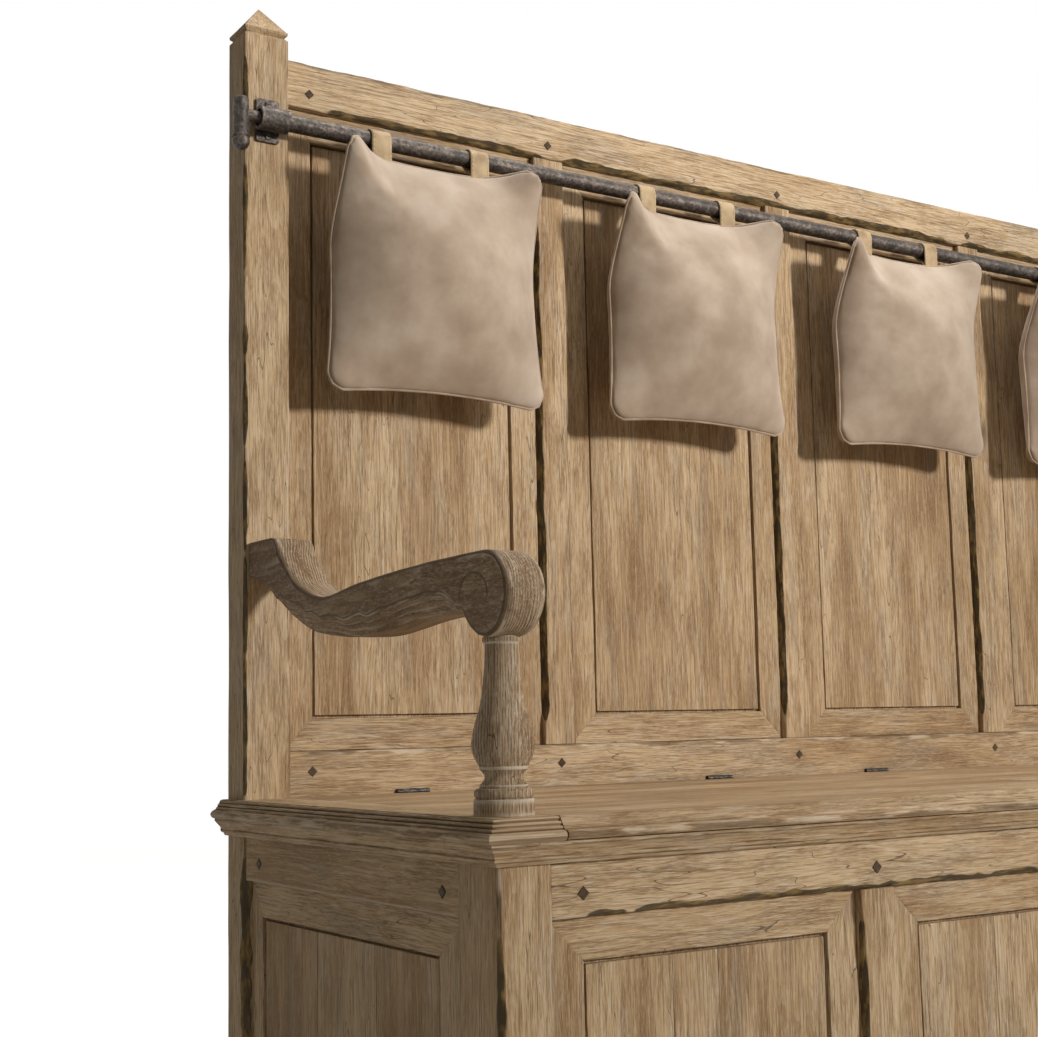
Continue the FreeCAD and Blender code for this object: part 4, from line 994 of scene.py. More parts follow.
@dataclass
class EdgeRun:
    """A moulded edge swept round the seat: its section is given as reach, height and how worn it is."""

    section: Sequence[tuple[float, float, float]]
    number: int

    def ring(self, shell: Shell, base: tuple[float, float], out: tuple[float, float], inner: Sequence[Point],
             station: float, grain_along: float) -> list[int]:
        """One section of the run.

        Args:
            shell: where the points go.
            base: the carcass face's x and y here.
            out: the direction of reach; at a corner it is the mitre's.
            inner: the points that close the section on its inner side.
            station: the distance along the run, for wear.
            grain_along: the distance along the grain.

        Returns:
            The ring's point numbers.
        """
        tone = 0.5 + 0.4 * wander(self.number * 2.3, 4.0, 1.0)
        made = []
        for n, (reach, height, worn) in enumerate(self.section):
            rub = 0.5 * wander(station / 35.0, n / 3.0, self.number)
            rub += 0.3 * wander(station / 9.0, n / 2.0, self.number)
            reach = reach + rub - 0.3
            point = (base[0] + out[0] * reach, base[1] + out[1] * reach, height)
            grain = (grain_along, reach, height - SEAT_UNDER + 35.0)
            made.append(shell.add(point, grain, worn, 0.0, tone))
        for point in inner:
            grain = (grain_along, math.dist(point[:2], base) * -1.0, point[2] - SEAT_UNDER + 35.0)
            made.append(shell.add(point, grain, 0.0, 0.0, tone))
        return made


def reeded_edge(reeds: int, swell: float, thickness: float, groove: float = -1.0) -> list[Point]:
    """The seat's edge: a slope with reeds, then a round nose.

    Args:
        reeds: how many; none gives a plain slope.
        swell: how far each stands out in mm.
        thickness: the board's thickness at the nose in mm.
        groove: the look between reeds, -1 limed and 2 dark; the dark look paints shade into the grooves.

    Returns:
        Reach, height and wear for each point, from the top down.
    """
    points = [(5.0, SEAT_TOP, 0.0), (7.6, SEAT_TOP - 0.1, 0.4)]
    parts = max(1, reeds)
    for n in range(parts):
        for k in range(6):
            t = k / 6.0
            share = (n + t) / parts
            bulge = swell * (math.sin(math.pi * t) ** 0.8 - 0.45)
            points.append((8.0 + 8.0 * share + bulge * 0.84, SEAT_TOP - 12.5 * share + bulge * 0.54,
                           (groove, 0.4, 0.0, 0.0, 0.2, 1.4)[k] if reeds else 0.3))
    points.append((16.0, SEAT_TOP - 12.5, 1.0))
    lower = thickness / (SEAT_TOP - SEAT_UNDER) * 1.02
    for angle in range(-70, 71, 14):
        turned = math.radians(angle)
        drop = 5.0 * math.sin(turned) * (1.0 if angle < 0 else lower)
        points.append((17.0 + 6.0 * math.cos(turned), SEAT_TOP - 17.3 - drop, 0.9 if abs(angle) < 30 else 0.2))
    points.append((18.6, SEAT_TOP - thickness + 0.1, 0.5))
    points.append((5.0, SEAT_TOP - thickness, 0.0))
    return points


class Seat(Assembly):
    """Two lids between fixed ends, the moulding below them and four butt hinges."""

    MOULDING = ((17.3, -0.1, 0.3), (17.5, -1.5, 0.2), (17.2, -2.9, 1.0), (16.4, -3.2, 0.8), (14.4, -5.0, 0.0),
                (12.4, -7.0, 0.0), (10.6, -9.4, 0.0), (9.6, -11.6, 0.2), (9.0, -12.9, 0.9), (8.0, -13.2, 1.0),
                (9.0, -14.0, 0.2), (9.7, -15.0, 0.0), (9.0, -16.2, 0.2), (8.0, -17.0, 1.0), (6.0, -17.4, 0.8),
                (5.2, -19.0, 0.0), (4.0, -20.9, 0.3))
    CORNER = (REAR_POST_X[1], FRONT_POST_Y[0])
    BACK_Y = REAR_POST_Y[1]
    NOTCH_Y = REAR_POST_Y[0]
    INNER_X = REAR_POST_X[0]

    def ends(self) -> None:
        """The fixed end boards, reeded round their outer edges and notched round the rear posts."""
        (x, front), high, low = self.CORNER, SEAT_TOP, SEAT_UNDER
        for side, name in SIDES:
            shell = Shell()
            # The sides' reed grooves get the dark look (2.2) as painted shade; the front's grooves stay limed.
            run = EdgeRun(reeded_edge(3, 2.6, high - low, 2.2), 51 + side)
            front_run = EdgeRun(reeded_edge(3, 2.6, high - low), 51 + side)
            rings = []
            for y in [self.BACK_Y] + [self.BACK_Y - 1.0 - 6.25 * n for n in range(9)]:
                inner = [(side * x, y, low), (side * x, y, high)]
                rings.append(run.ring(shell, (side * x, y), (side, 0.0), inner, y, y))
            for n in range(97):
                y = self.NOTCH_Y - (self.NOTCH_Y - front) * n / 96.0
                inner = [(side * self.INNER_X, y, low), (side * self.INNER_X, y, high)]
                diagonal = (side, -1.0) if n == 96 else (side, 0.0)
                rings.append(run.ring(shell, (side * x, y), diagonal, inner, y, y))
            inner = [(side * self.INNER_X, front, low), (side * self.INNER_X, front, high)]
            for n in range(1, 13):
                px = x - (x - self.INNER_X) * n / 12.0
                rings.append(front_run.ring(shell, (side * px, front), (0.0, -1.0), inner, front - n * 5.0,
                                            front - 8.0))
            shell.tube(rings)
            piece = shell.finish("seat_end_" + name + "_reeded", self.finishes.oak, 32.0)
            settle(piece, "frame", ["seat_end_" + name])

    def lids(self) -> None:
        """The two lids, their front edges worn smooth."""
        for side, name in SIDES:
            shell = Shell()
            section = reeded_edge(0, 0.4, 20.0)
            section += [(-6.0, SEAT_TOP - 20.0, 0.0), (-6.4, SEAT_TOP - 22.4, 0.0)]
            run = EdgeRun(section, 61 + side)
            rings = []
            for n in range(142):
                x = 1.0 + 843.4 * n / 141.0
                squeeze = 0.8 if n in (0, 141) else 0.0
                high = SEAT_TOP - squeeze * 0.5 + 0.25 * wander(x / 120.0, 0.0, side + 9.0) - 0.15
                inner = [(side * x, 284.4, SEAT_UNDER), (side * x, 284.6, high - 1.0), (side * x, 283.4, high)]
                for k in range(1, 5):
                    heave = 0.4 * wander(x / 150.0, k * 1.7, side + 9.0)
                    inner.append((side * x, 283.4 - 116.6 * k, SEAT_TOP - squeeze * 0.5 - 0.15 + heave))
                base = (side * x, self.CORNER[1] + squeeze)
                rings.append(run.ring(shell, base, (0.0, -1.0), inner, x, x))
            shell.tube(rings)
            piece = shell.finish("lid_" + name + "_board", self.finishes.oak, 32.0)
            settle(piece, "lid_" + name, ["lid_" + name])

    def moulding(self) -> None:
        """The moulding under the seat, mitred at both front corners."""
        shell = Shell()
        section = [(reach, SEAT_UNDER + drop, worn) for reach, drop, worn in self.MOULDING]
        run = EdgeRun(section, 71)
        x, front = self.CORNER
        rings = []

        def add(px: float, py: float, out: tuple[float, float], station: float) -> None:
            """Add one section of the moulding."""
            inner = [(px, py, section[-1][1]), (px, py, section[0][1])]
            rings.append(run.ring(shell, (px, py), out, inner, station, station))

        for n in range(60):
            add(-x, self.BACK_Y - (self.BACK_Y - front) * n / 60.0, (-1.0, 0.0), n * 10.0)
        add(-x, front, (-1.0, -1.0), 620.0)
        for n in range(1, 240):
            add(-x + 2.0 * x * n / 240.0, front, (0.0, -1.0), 620.0 + n * 7.6)
        add(x, front, (1.0, -1.0), 2450.0)
        for n in range(1, 61):
            add(x, front + (self.BACK_Y - front) * n / 60.0, (1.0, 0.0), 2450.0 + n * 10.0)
        shell.tube(rings)
        settle(shell.finish("seat_moulding", self.finishes.oak, 32.0), "frame", ["cornice_moulding"])

    def hinges(self) -> None:
        """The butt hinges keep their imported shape."""
        for node in ("lid_hinge_leaves_left", "lid_hinge_leaves_right", "hinge_fixed_leaves", "hinge_pins"):
            finish_node(node, self.finishes.black_iron, 0.2)

    def steps(self) -> Iterable[Callable[[], None]]:
        """The steps in order."""
        return self.ends, self.lids, self.moulding, self.hinges


class Pegs(Assembly):
    """Square oak draw pegs set cornerwise, cut a little proud of the rails."""

    def pegs(self) -> None:
        """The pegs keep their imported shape."""
        finish_node("oak_pegs", self.finishes.peg, 0.6)

    def steps(self) -> Iterable[Callable[[], None]]:
        """The only step."""
        return (self.pegs,)


def curve_through(points: Sequence[tuple[float, float]], spacing: float) -> list[tuple[float, float]]:
    """Sample a smooth line through points.

    Args:
        points: the points that it passes.
        spacing: the distance between samples in mm.

    Returns:
        The samples, from the first point up to the last.
    """
    ends = [tuple(2 * a - b for a, b in zip(points[0], points[1]))]
    tail = [tuple(2 * a - b for a, b in zip(points[-1], points[-2]))]
    chain = ends + list(points) + tail
    samples = []
    for n in range(1, len(chain) - 2):
        p0, p1, p2, p3 = chain[n - 1:n + 3]
        parts = max(2, int(math.dist(p1, p2) / spacing))
        for k in range(parts):
            t = k / parts
            samples.append(tuple(
                0.5 * (2 * b + (c - a) * t + (2 * a - 5 * b + 4 * c - d) * t * t + (3 * b - a - 3 * c + d) * t ** 3)
                for a, b, c, d in zip(p0, p1, p2, p3)))
    samples.append(tuple(points[-1]))
    return samples


@dataclass
class Arm:
    """A scrolled arm sawn from one plank and its turned support.

    The outer lower arris keeps a wide bark edge, and the knuckle's inner arris is rubbed round by hands.
    """

    side: int
    name: str
    finishes: Finishes
    middle: float = 877.5
    half: float = 25.0
    scroll: tuple[float, float] = (-273.0, 676.0)
    radius: float = 41.0
    support_y: float = -265.0

    def outline(self) -> list[tuple[float, float]]:
        """The arm's side view as y and z, from the post over the top and back along the underside."""
        crest = [(273.0, 781.5), (240.0, 781.5), (212.0, 781.5), (200.0, 779.6), (192.5, 772.0), (187.0, 760.0)]
        top = curve_through([(187.0, 760.0), (164.0, 739.0), (133.0, 717.0), (68.0, 700.0), (-23.0, 708.5),
                             (-115.5, 713.5), (-200.0, 716.5), (-273.0, 717.0)], 6.0)
        arc = [(self.scroll[0] - self.radius * math.sin(math.radians(a)),
                self.scroll[1] + self.radius * math.cos(math.radians(a))) for a in range(8, 181, 8)]
        arc.append((self.scroll[0], self.scroll[1] - self.radius))
        cheek = [(-261.0, 637.5), (-249.0, 644.5), (-240.0, 653.5), (-235.0, 662.0)]
        under = curve_through([(-230.0, 663.6), (-136.0, 660.5), (-22.0, 650.5), (79.0, 658.0), (133.0, 672.0),
                               (173.0, 692.0), (221.0, 726.0)], 6.0)
        return crest[:-1] + top + arc + cheek + under + [(240.0, 731.0), (273.0, 739.5)]

    def edge_at(self, y: float, z: float, outer: bool, number: float) -> tuple[float, float, float]:
        """How far an arris is cut in from the outline and from the side face, and how dark it is."""
        rough = wander(y / 38.0, z / 38.0, number) + 0.5 * wander(y / 12.0, z / 12.0, number)
        size = 2.2 + 0.9 * rough
        if not outer:
            size = max(0.8, size + 11.5 * max(0.0, min(1.0, (-200.0 - y) / 60.0)))
            return size, size, 0.0
        if self.is_under(y, z):
            ease = max(0.0, min(1.0, (y + 226.0) / 30.0, (208.0 - y) / 60.0))
            return 3.0 + ease * (19.0 + 5.5 * rough), 2.5 + ease * 7.0, 0.3 * ease
        size = max(0.9, size + 0.8)
        return size, size, 0.0

    @staticmethod
    def is_under(y: float, z: float) -> bool:
        """True on the arm's underside, between the knuckle and the post."""
        limit = min(705.0, 690.0 + max(0.0, y - 140.0), 683.0 + max(0.0, y - 110.0) * 0.72)
        return -232.0 < y < 205.0 and z < limit and not (y < 150.0 and z > 696.0)

    def build_arm(self) -> None:
        """Build the arm as rings parallel to its side view."""
        shell = Shell()
        outline = self.outline()
        count = len(outline)
        normals = []
        for n in range(count):
            before, after = outline[n - 1], outline[(n + 1) % count]
            dy, dz = after[0] - before[0], after[1] - before[1]
            size = math.hypot(dy, dz) or 1.0
            normals.append((-dz / size, dy / size))
        area = sum(a[0] * b[1] - b[0] * a[1] for a, b in zip(outline, outline[1:] + outline[:1]))
        turn = 1.0 if area > 0 else -1.0
        rings = []
        parts = [k / 6 for k in range(7)]
        layers = [(-1, -1.0)] + [(-1, part) for part in reversed(parts)] + [(0, -0.5), (0, 0.0), (0, 0.5)]
        layers += [(1, part) for part in parts] + [(1, -1.0)]
        number = 5.0 + self.side
        for face, part in layers:
            ring = []
            for (y, z), (ny, nz) in zip(outline, normals):
                outer = face == 1
                inset, depth, bark = self.edge_at(y, z, outer, number)
                if face == 0:
                    cut, x, worn = 0.0, part * self.half, 0.0
                elif part < 0.0:
                    cut, x, worn = inset + 2.2, face * self.half, 0.0
                else:
                    angle = part * math.pi / 2.0
                    if bark > 0.05:
                        cut, back, worn = inset * part, depth * (1.0 - part), 2.2 if part > 0.9 else 0.0
                    else:
                        cut, back = inset * (1.0 - math.cos(angle)), depth * (1.0 - math.sin(angle))
                        worn = (2.4 if outer else 1.0) - abs(part - 0.5) * 1.4
                    x = face * (self.half - back)
                lift = 0.5 * wander(y / 45.0, z / 30.0 + x / 20.0, number) - 0.3
                px = self.side * (self.middle + x)
                py = y + turn * ny * (cut - lift)
                pz = z + turn * nz * (cut - lift)
                grain = (py, x + 62.0, 0.4 * (pz - 660.0))
                ring.append(shell.add((px, py, pz), grain, worn, bark if 0.0 <= part and face == 1 else 0.0,
                                      0.36 + 0.05 * self.side))
            rings.append(ring)
        shell.skin(rings)
        shell.faces.append(tuple(rings[0]))
        shell.faces.append(tuple(reversed(rings[-1])))
        piece = shell.finish("arm_" + self.name + "_scrolled", self.finishes.oak_bold, 30.0)
        settle(piece, "frame", ["arm_" + self.name])

    def build_support(self) -> None:
        """Turn the support: foot, torus, hollow, bulb, long neck and two top rings."""
        profile = [(0.0, -0.5, 0), (28.0, -0.5, 0), (28.6, 0.6, 1), (28.7, 7.0, 0), (28.5, 14.6, 1), (27.4, 15.6, 1),
                   (25.9, 15.8, 0), (25.7, 16.6, 0)]
        profile += [(25.6 + 2.6 * math.sin(math.radians(a)), 20.4 - 4.2 * math.cos(math.radians(a)), 0)
                    for a in range(10, 171, 20)]
        profile += [(25.0, 25.0, 1), (22.9, 25.3, 0), (22.7, 28.0, 1)]
        profile += [(22.3 - 4.4 * math.sin(math.radians(a)), 28.4 + 14.0 * a / 180.0, 0) for a in range(12, 175, 18)]
        profile += [(22.7, 42.8, 1), (22.9, 45.0, 1), (22.9, 46.0, 0)]
        bulb = curve_through([(23.6, 46.6), (27.5, 54.0), (30.0, 65.0), (27.0, 82.0), (21.3, 102.0), (17.6, 126.0),
                              (15.8, 150.0), (15.7, 158.0)], 3.0)
        profile += [(r, z, 0) for r, z in bulb]
        profile += [(15.8, 159.6, 1), (17.0, 160.2, 1), (18.0, 162.4, 0), (17.9, 164.6, 0), (16.9, 166.2, 1),
                    (16.6, 166.9, 1), (17.2, 167.6, 0), (17.2, 171.4, 0), (0.0, 171.4, 0)]
        shell = Shell()
        segments = 64
        rings = []
        for radius, height, worn in profile:
            ring = []
            for n in range(segments):
                angle = 2.0 * math.pi * n / segments
                reach = max(0.01, radius + 0.22 * wander(math.cos(angle) * 2.0 + height / 60.0,
                                                         math.sin(angle) * 2.0, 3.0 + self.side))
                x, y = reach * math.cos(angle), reach * math.sin(angle)
                ring.append(shell.add((self.side * self.middle + x, self.support_y + y, SEAT_TOP + height),
                                      (height, 0.84 * x - 0.54 * y + 95.0, 0.3 * y), -0.8 * worn, 0.0,
                                      0.42 + 0.05 * self.side))
            rings.append(ring)
        shell.skin(rings)
        piece = shell.finish("arm_support_" + self.name + "_turned", self.finishes.oak_bold, 40.0)
        settle(piece, "frame", ["arm_support_" + self.name])

    def build(self) -> None:
        """Build the arm and its support."""
        self.build_arm()
        self.build_support()
        LOG.info("arm and support: %s", self.name)


class Ironwork(Assembly):
    """The rod, its wall plates with sleeves, its T stops and the plates' screws."""

    def rod(self) -> None:
        """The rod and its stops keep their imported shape."""
        for node, worn in (("pillow_rod", 0.5), ("rod_end_stops", 0.8)):
            finish_node(node, self.finishes.iron, worn)

    def brackets(self) -> None:
        """The plates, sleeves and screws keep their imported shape."""
        for node, worn in (("rod_bracket_left", 0.7), ("rod_bracket_right", 0.7), ("bracket_screws", 0.3)):
            finish_node(node, self.finishes.iron, worn)

    def steps(self) -> Iterable[Callable[[], None]]:
        """The steps in order."""
        return self.rod, self.brackets


@dataclass
class HungPillow:
    """A plump nubuck pillow with pointed ears, piped edges and two straps round the rod."""

    number: int
    x: float
    finishes: Finishes
    corner: float = 163.5
    draw: float = 12.0
    bulge: tuple[float, float] = (70.0, 44.0)   # the filling's depth, in front and behind
    fullness: tuple[float, float] = (0.78, 0.44)
    ear: float = 7.0              # extra half thickness at the ears
    edge: float = 3.0
    fold: float = 9.0
    ear_forward: float = 43.0
    ear_in: float = 14.0
    lean: float = 2.5
    seam: tuple[float, float] = (242.7, 1294.0)
    drop: float = 158.0
    rod: tuple[float, float] = (254.0, 1319.0)
    strap_width: float = 29.0
    strap_places: tuple[float, float] = (-75.0, 75.0)
    strap_half: float = 1.25      # half the strap's thickness
    voxel: float = 5.0
    frames: int = 20              # the filling settles within these
    most: float = 14.0            # the farthest that the cloth may move a point

    def flat(self, u: float, v: float) -> tuple[float, float]:
        """A point of the seam's plane from u and v, -1 to 1."""
        x = u * (self.corner - self.draw * (1.0 - v * v))
        z = v * (self.corner - self.draw * (1.0 - u * u))
        over = abs(x) + abs(z) - (2.0 * self.corner - 26.0)
        if over > 0.0:
            x -= math.copysign(over * 0.36, x)
            z -= math.copysign(over * 0.36, z)
        return x, z

    def hang(self, x: float, y: float, z: float) -> Point:
        """Bend the ears, lean the pillow and hang it from its seam."""
        side = max(0.0, min(1.0, (abs(x) / self.corner - 0.42) / 0.58))
        top = max(0.0, min(1.0, (z / self.corner - 0.10) / 0.90))
        weight = (side * side * (3.0 - 2.0 * side)) * (top * top * (3.0 - 2.0 * top))
        y -= self.ear_forward * weight
        along = max(0.0, min(1.0, ((z - x) / (2.0 * self.corner) - 0.12) / 0.5))
        y -= self.fold * math.exp(-((x + z + 8.0) / 24.0) ** 2) * along * along * (3.0 - 2.0 * along)
        x -= math.copysign(self.ear_in * weight, x)
        lean = math.radians(self.lean)
        z -= self.drop
        turned_y = y * math.cos(lean) + z * math.sin(lean)
        turned_z = z * math.cos(lean) - y * math.sin(lean)
        return (self.x + x, self.seam[0] + turned_y, self.seam[1] + turned_z)

    def thickness(self, u: float, v: float, face: int) -> float:
        """The depth of the front (0) or back (1) at u and v, from the seam's plane."""
        puff = max(0.0, (1.0 - u * u) * (1.0 - v * v))
        slack = 1.0 + 0.05 * wander(u * 1.7 + self.number, v * 1.7, 4.0)
        return self.edge + self.ear * abs(u * v) ** 8 + self.bulge[face] * slack * puff ** self.fullness[face]

    def seam_line(self, count: int) -> list[Point]:
        """The seam's closed line, hung."""
        line = []
        for n in range(4 * count):
            side, t = divmod(n, count)
            s = -1.0 + 2.0 * t / count
            u, v = ((s, -1.0), (1.0, s), (-s, 1.0), (-1.0, -s))[side]
            x, z = self.flat(u, v)
            line.append(self.hang(x, 0.0, z))
        return line

    def body(self) -> bpy.types.Object:
        """The pillow's closed form before it is filled."""
        shell = Shell()
        count = 40
        grid = {}
        for side in (-1, 1):
            for i in range(count + 1):
                for j in range(count + 1):
                    u, v = -1.0 + 2.0 * i / count, -1.0 + 2.0 * j / count
                    u, v = math.sin(u * math.pi / 2.0 * 0.999), math.sin(v * math.pi / 2.0 * 0.999)
                    x, z = self.flat(u, v)
                    y = side * self.thickness(u, v, 0 if side < 0 else 1)
                    grid[side, i, j] = shell.add(self.hang(x, y, z))
        for side in (-1, 1):
            for i in range(count):
                for j in range(count):
                    shell.faces.append((grid[side, i, j], grid[side, i + 1, j], grid[side, i + 1, j + 1],
                                        grid[side, i, j + 1]))
        rim = [(i, 0) for i in range(count)] + [(count, j) for j in range(count)]
        rim += [(i, count) for i in range(count, 0, -1)] + [(0, j) for j in range(count, 0, -1)]
        for n, spot in enumerate(rim):
            after = rim[(n + 1) % len(rim)]
            shell.faces.append((grid[(-1,) + spot], grid[(-1,) + after], grid[(1,) + after], grid[(1,) + spot]))
        return shell.finish("pillow_%d_nubuck" % self.number, self.finishes.nubuck, 180.0)

    def fill(self, piece: bpy.types.Object) -> None:
        """Blow the pillow up as cloth round its pinned seam, and keep the result.

        Args:
            piece: the closed form.
        """
        scene = bpy.context.scene
        remesh = piece.modifiers.new("remesh", "REMESH")
        remesh.mode = "VOXEL"
        remesh.voxel_size = self.voxel * MM
        remesh.use_smooth_shade = True
        self.take_shape(piece)
        start = [v.co.copy() for v in piece.data.vertices]
        line = [Vector(p) * MM for p in self.seam_line(80)]
        tree = KDTree(len(line))
        for n, point in enumerate(line):
            tree.insert(point, n)
        tree.balance()
        pins = piece.vertex_groups.new(name="seam")
        for vertex in piece.data.vertices:
            gap = tree.find(vertex.co)[2] / MM
            weight = max(0.0, min(1.0, (8.0 - gap) / 4.0))
            if weight > 0.0:
                pins.add([vertex.index], weight, "REPLACE")
        cloth = piece.modifiers.new("filling", "CLOTH")
        cloth.settings.use_pressure = True
        cloth.settings.uniform_pressure_force = 4.0
        cloth.settings.effector_weights.gravity = 0.0
        cloth.settings.vertex_group_mass = "seam"
        cloth.settings.quality = 4
        cloth.settings.tension_stiffness = 20.0
        cloth.settings.compression_stiffness = 20.0
        cloth.settings.bending_stiffness = 0.6
        cloth.collision_settings.use_collision = False
        cloth.point_cache.frame_start = 1
        cloth.point_cache.frame_end = self.frames
        for number in range(1, self.frames + 1):
            scene.frame_set(number)
        depsgraph = bpy.context.evaluated_depsgraph_get()
        shaped = piece.evaluated_get(depsgraph).to_mesh()
        ends = [v.co.copy() for v in shaped.vertices]
        piece.evaluated_get(depsgraph).to_mesh_clear()
        piece.modifiers.clear()
        scene.frame_set(1)
        limit = self.most * MM
        for vertex, first, last in zip(piece.data.vertices, start, ends):
            move = last - first
            if move.length > limit:
                move = move * (limit / move.length)
            vertex.co = first + move

    @staticmethod
    def take_shape(piece: bpy.types.Object) -> None:
        """Apply a piece's modifiers to its mesh."""
        depsgraph = bpy.context.evaluated_depsgraph_get()
        mesh = bpy.data.meshes.new_from_object(piece.evaluated_get(depsgraph))
        material = piece.data.materials[0]
        piece.modifiers.clear()
        piece.data = mesh
        if not mesh.materials:
            mesh.materials.append(material)

    def welt(self) -> bpy.types.Object:
        """The piping sewn into the seam."""
        shell = Shell()
        line = [Vector(p) for p in self.seam_line(56)]
        rings = []
        for n, point in enumerate(line):
            ahead = (line[(n + 1) % len(line)] - line[n - 1]).normalized()
            outwards = (point - Vector((self.x, self.seam[0] - 8.0, self.seam[1] - self.drop)))
            outwards = (outwards - ahead * outwards.dot(ahead)).normalized()
            across = ahead.cross(outwards)
            radius = 1.9 + 0.15 * wander(n / 3.0, 0.0, self.number)
            ring = []
            for k in range(8):
                angle = math.pi / 4.0 * k
                spot = point + outwards * (0.6 + radius * math.cos(angle)) + across * (radius * math.sin(angle))
                ring.append(shell.add(tuple(spot)))
            rings.append(ring)
        rings.append(rings[0])
        shell.skin(rings)
        return shell.finish("pillow_%d_welt" % self.number, self.finishes.welt, 180.0)

    def strap_path(self) -> list[tuple[float, float]]:
        """The strap's middle line as y and z: up the front, over the rod, and down behind."""
        radius = 12.6
        path = [(self.seam[0] - 0.9, 1286.0), (self.seam[0] - 1.2, 1300.0), (self.seam[0] - 1.3, 1312.0)]
        for angle in range(180, -41, -12):
            path.append((self.rod[0] + radius * math.cos(math.radians(angle)),
                         self.rod[1] + radius * math.sin(math.radians(angle))))
        path += [(256.0, 1304.0), (248.0, 1297.0), (245.4, 1292.0), (245.0, 1286.0)]
        return path

    def straps(self) -> tuple[bpy.types.Object, bpy.types.Object]:
        """Two leather straps and the stitching along their edges."""
        leather, stitches = Shell(), Shell()
        path = curve_through(self.strap_path(), 2.0)
        for place in self.strap_places:
            rings = []
            for n, (y, z) in enumerate(path):
                before, after = path[max(0, n - 1)], path[min(len(path) - 1, n + 1)]
                dy, dz = after[0] - before[0], after[1] - before[1]
                size = math.hypot(dy, dz) or 1.0
                ny, nz = -dz / size, dy / size
                half = self.strap_width / 2.0 + 0.35 * wander(n / 6.0, place, self.number)
                shape = [(-half, -0.4), (-half + 0.7, -1.0), (-half + 5.0, -0.92), (0.0, -1.0), (half - 5.0, -0.92),
                         (half - 0.7, -1.0), (half, -0.4)]
                shape += [(across, -out) for across, out in reversed(shape)]
                rings.append([leather.add((self.x + place + across, y + ny * out * self.strap_half,
                                           z + nz * out * self.strap_half)) for across, out in shape])
            leather.tube(rings)
            for edge in (-1, 1):
                self.stitch(stitches, path, self.x + place + edge * (self.strap_width / 2.0 - 2.6))
        first = leather.finish("pillow_straps_%d" % self.number, self.finishes.strap, 60.0)
        second = stitches.finish("pillow_strap_stitches_%d" % self.number, self.finishes.thread, 180.0)
        return first, second

    def stitch(self, shell: Shell, path: Sequence[tuple[float, float]], x: float) -> None:
        """Lay short stitches along both faces of a strap.

        Args:
            shell: where the stitches go.
            path: the strap's middle line.
            x: where the row is.
        """
        for n in range(1, len(path) - 3, 3):
            (y0, z0), (y1, z1) = path[n], path[n + 2]
            size = math.hypot(y1 - y0, z1 - z0) or 1.0
            ny, nz = -(z1 - z0) / size, (y1 - y0) / size
            for out in (-1.0, 1.0):
                rings = []
                for t, radius in ((0.0, 0.1), (0.15, 0.42), (0.5, 0.5), (0.85, 0.42), (1.0, 0.1)):
                    y = y0 + (y1 - y0) * t + ny * out * (self.strap_half + 0.1)
                    z = z0 + (z1 - z0) * t + nz * out * (self.strap_half + 0.1)
                    ring = []
                    for k in range(6):
                        angle = math.pi / 3.0 * k
                        ring.append(shell.add((x + radius * math.cos(angle), y + ny * radius * math.sin(angle),
                                               z + nz * radius * math.sin(angle))))
                    rings.append(ring)
                shell.tube(rings)

    def build(self) -> None:
        """Build the pillow, its welt and its straps."""
        body = self.body()
        self.fill(body)
        smooth = body.modifiers.new("smooth", "SUBSURF")
        smooth.levels = smooth.render_levels = 1
        settle(body, "pillow_%d" % self.number, ["pillow_%d" % self.number])
        settle(self.welt(), "pillow_%d" % self.number)
        leather, stitches = self.straps()
        settle(leather, "tabs_%d" % self.number, ["pillow_tabs_%d" % self.number])
        settle(stitches, "tabs_%d" % self.number)
        LOG.info("pillow %d with its welt and straps", self.number)


# ---- studio ----


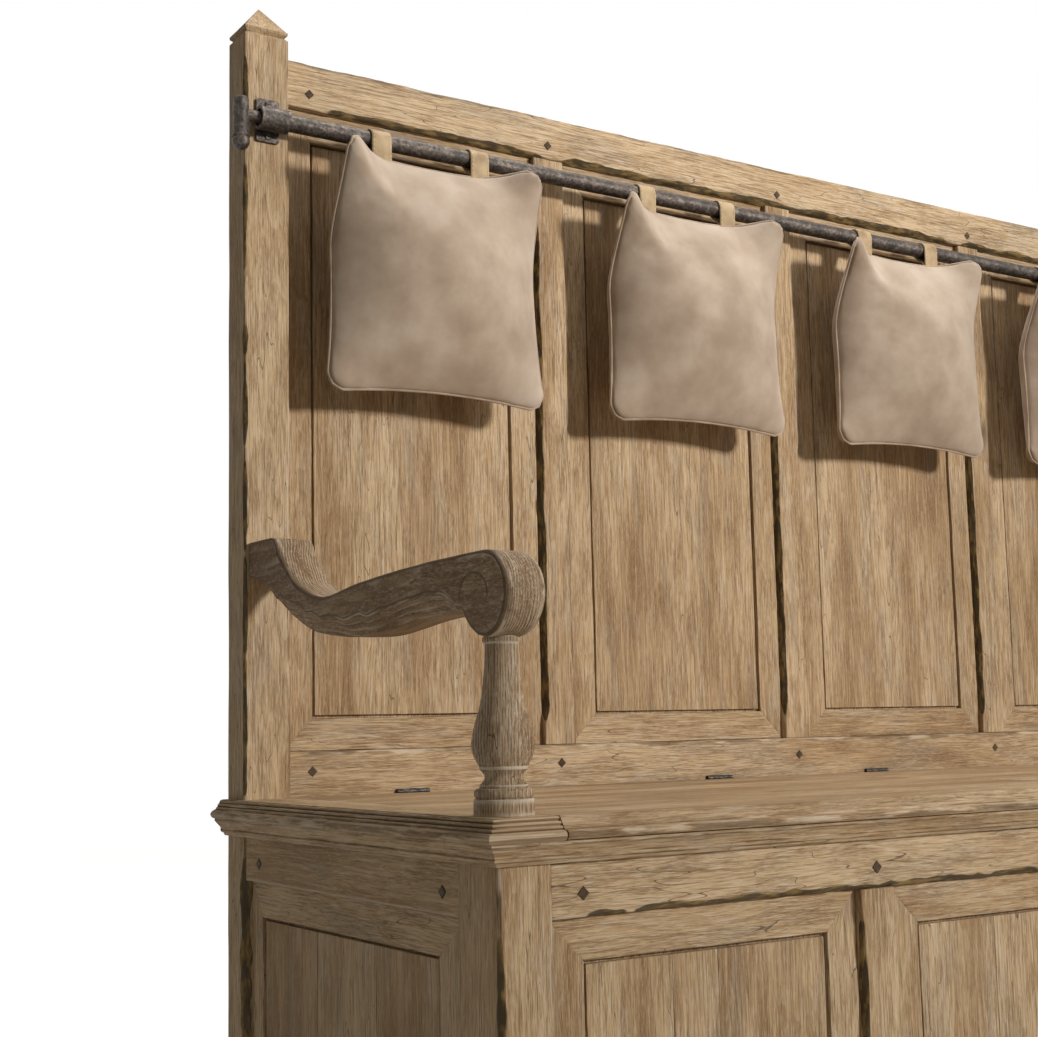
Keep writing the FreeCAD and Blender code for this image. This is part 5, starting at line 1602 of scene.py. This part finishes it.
@dataclass
class Studio:
    """A pale floor, soft light from the front right, and the camera."""

    eye: Point = (-1676.6, -1536.1, 552.5)
    yaw: float = 32.71
    pitch: float = 6.75
    roll: float = -1.142
    focal_px: float = 1593.21
    centre_px: tuple[float, float] = (514.46, 537.15)
    width_px: float = 1038.0
    height_px: float = 1037.0

    def camera(self) -> None:
        """Set the camera at the photograph's viewing angle."""
        yaw, pitch, roll = (math.radians(a) for a in (self.yaw, self.pitch, self.roll))
        ahead = Vector((math.sin(yaw) * math.cos(pitch), math.cos(yaw) * math.cos(pitch), math.sin(pitch)))
        right = Vector((math.cos(yaw), -math.sin(yaw), 0.0))
        up = right.cross(ahead)
        level_right = right * math.cos(roll) + up * math.sin(roll)
        level_up = up * math.cos(roll) - right * math.sin(roll)
        data = bpy.data.cameras.new("camera")
        data.sensor_width = 36.0
        data.sensor_fit = "HORIZONTAL"
        data.lens = 36.0 * self.focal_px / self.width_px
        data.shift_x = (self.width_px / 2.0 - self.centre_px[0]) / self.width_px
        data.shift_y = (self.centre_px[1] - self.height_px / 2.0) / self.width_px
        data.clip_end = 50.0
        camera = bpy.data.objects.new("camera", data)
        turn = Matrix((level_right, level_up, -ahead)).transposed()
        camera.matrix_world = Matrix.Translation(Vector(self.eye) * MM) @ turn.to_4x4()
        bpy.context.scene.collection.objects.link(camera)
        bpy.context.scene.camera = camera

    @staticmethod
    def lamp(name: str, place: Point, target: Point, size: float, power: float, colour: str,
             spread: float = 180.0) -> None:
        """Add one soft lamp.

        Args:
            name: the lamp's name.
            place: where it stands in metres.
            target: the point that it faces in metres.
            size: its width in metres.
            power: its watts.
            colour: its tint as hex.
            spread: the beam's whole angle in degrees.
        """
        data = bpy.data.lights.new(name, "AREA")
        data.spread = math.radians(spread)
        data.shape = "DISK"
        data.size = size
        data.energy = power
        data.color = linear(colour)[:3]
        lamp = bpy.data.objects.new(name, data)
        lamp.location = Vector(place)
        lamp.rotation_mode = "QUATERNION"
        lamp.rotation_quaternion = (Vector(target) - Vector(place)).to_track_quat("-Z", "Y")
        bpy.context.scene.collection.objects.link(lamp)

    def lights(self) -> None:
        """A key lamp at the front right, a weak fill, and a pale world that shows white."""
        self.lamp("key lamp", (3.2, -6.1, 2.7), (-0.25, 0.28, 1.4), 1.05, 28.5, "FFFAF4", 42.0)
        self.lamp("top lamp", (0.0, 0.0, 3.1), (0.0, 0.0, 0.5), 1.0, 32.0, "FFFAF4")
        self.lamp("fill lamp", (-3.4, -2.6, 1.6), (0.0, 0.0, 0.7), 2.4, 3.0, "FFF3DE")
        world = bpy.data.worlds.new("pale studio")
        bpy.context.scene.world = world
        world.use_nodes = True
        graph = Graph(world.node_tree)
        shown = graph.add("Background", {"Color": (1.0, 1.0, 1.0, 1.0), "Strength": 1.0}).outputs[0]
        light = graph.add("Background", {"Color": linear("F8EFDC"), "Strength": 0.11}).outputs[0]
        mixed = graph.add("MixShader", {0: graph.seen(), 1: light, 2: shown}).outputs[0]
        graph.add("OutputWorld", {"Surface": mixed})

    @staticmethod
    def floor() -> None:
        """A pale floor, white to the camera away from the bench's shadow."""
        shell, reach, height = Shell(), 6000.0, -0.6
        shell.faces.append(tuple(shell.add((x * reach, y * reach, height))
                                 for x, y in ((-1, -1), (1, -1), (1, 1), (-1, 1))))
        graph = MaterialGraph("studio floor, pale painted")
        material = graph.finish({"Base Color": linear("E9E7E3"), "Roughness": 0.9,
                                 "Emission Color": (1.0, 1.0, 1.0, 1.0),
                                 "Emission Strength": graph.math("MULTIPLY", graph.seen(), 0.84)})
        shell.finish("studio_floor", material)

    def build(self) -> None:
        """Build the studio."""
        self.camera()
        self.lights()
        self.floor()
        LOG.info("studio")


def main() -> None:
    """Build every part of the bench and the studio in order."""
    logging.basicConfig(level=logging.INFO, format="%(name)s: %(message)s")
    bpy.context.scene.view_settings.view_transform = "Standard"
    Studio().build()
    finishes = Finishes()
    for part in (PanelledBack, Chest, Seat, Pegs):
        part(finishes).build()
    for side, name in SIDES:
        Arm(side, name, finishes).build()
    Ironwork(finishes).build()
    for n in range(4):
        HungPillow(n + 1, (n - 1.5) * BAY_PITCH, finishes).build()


if __name__ == "__main__":
    main()
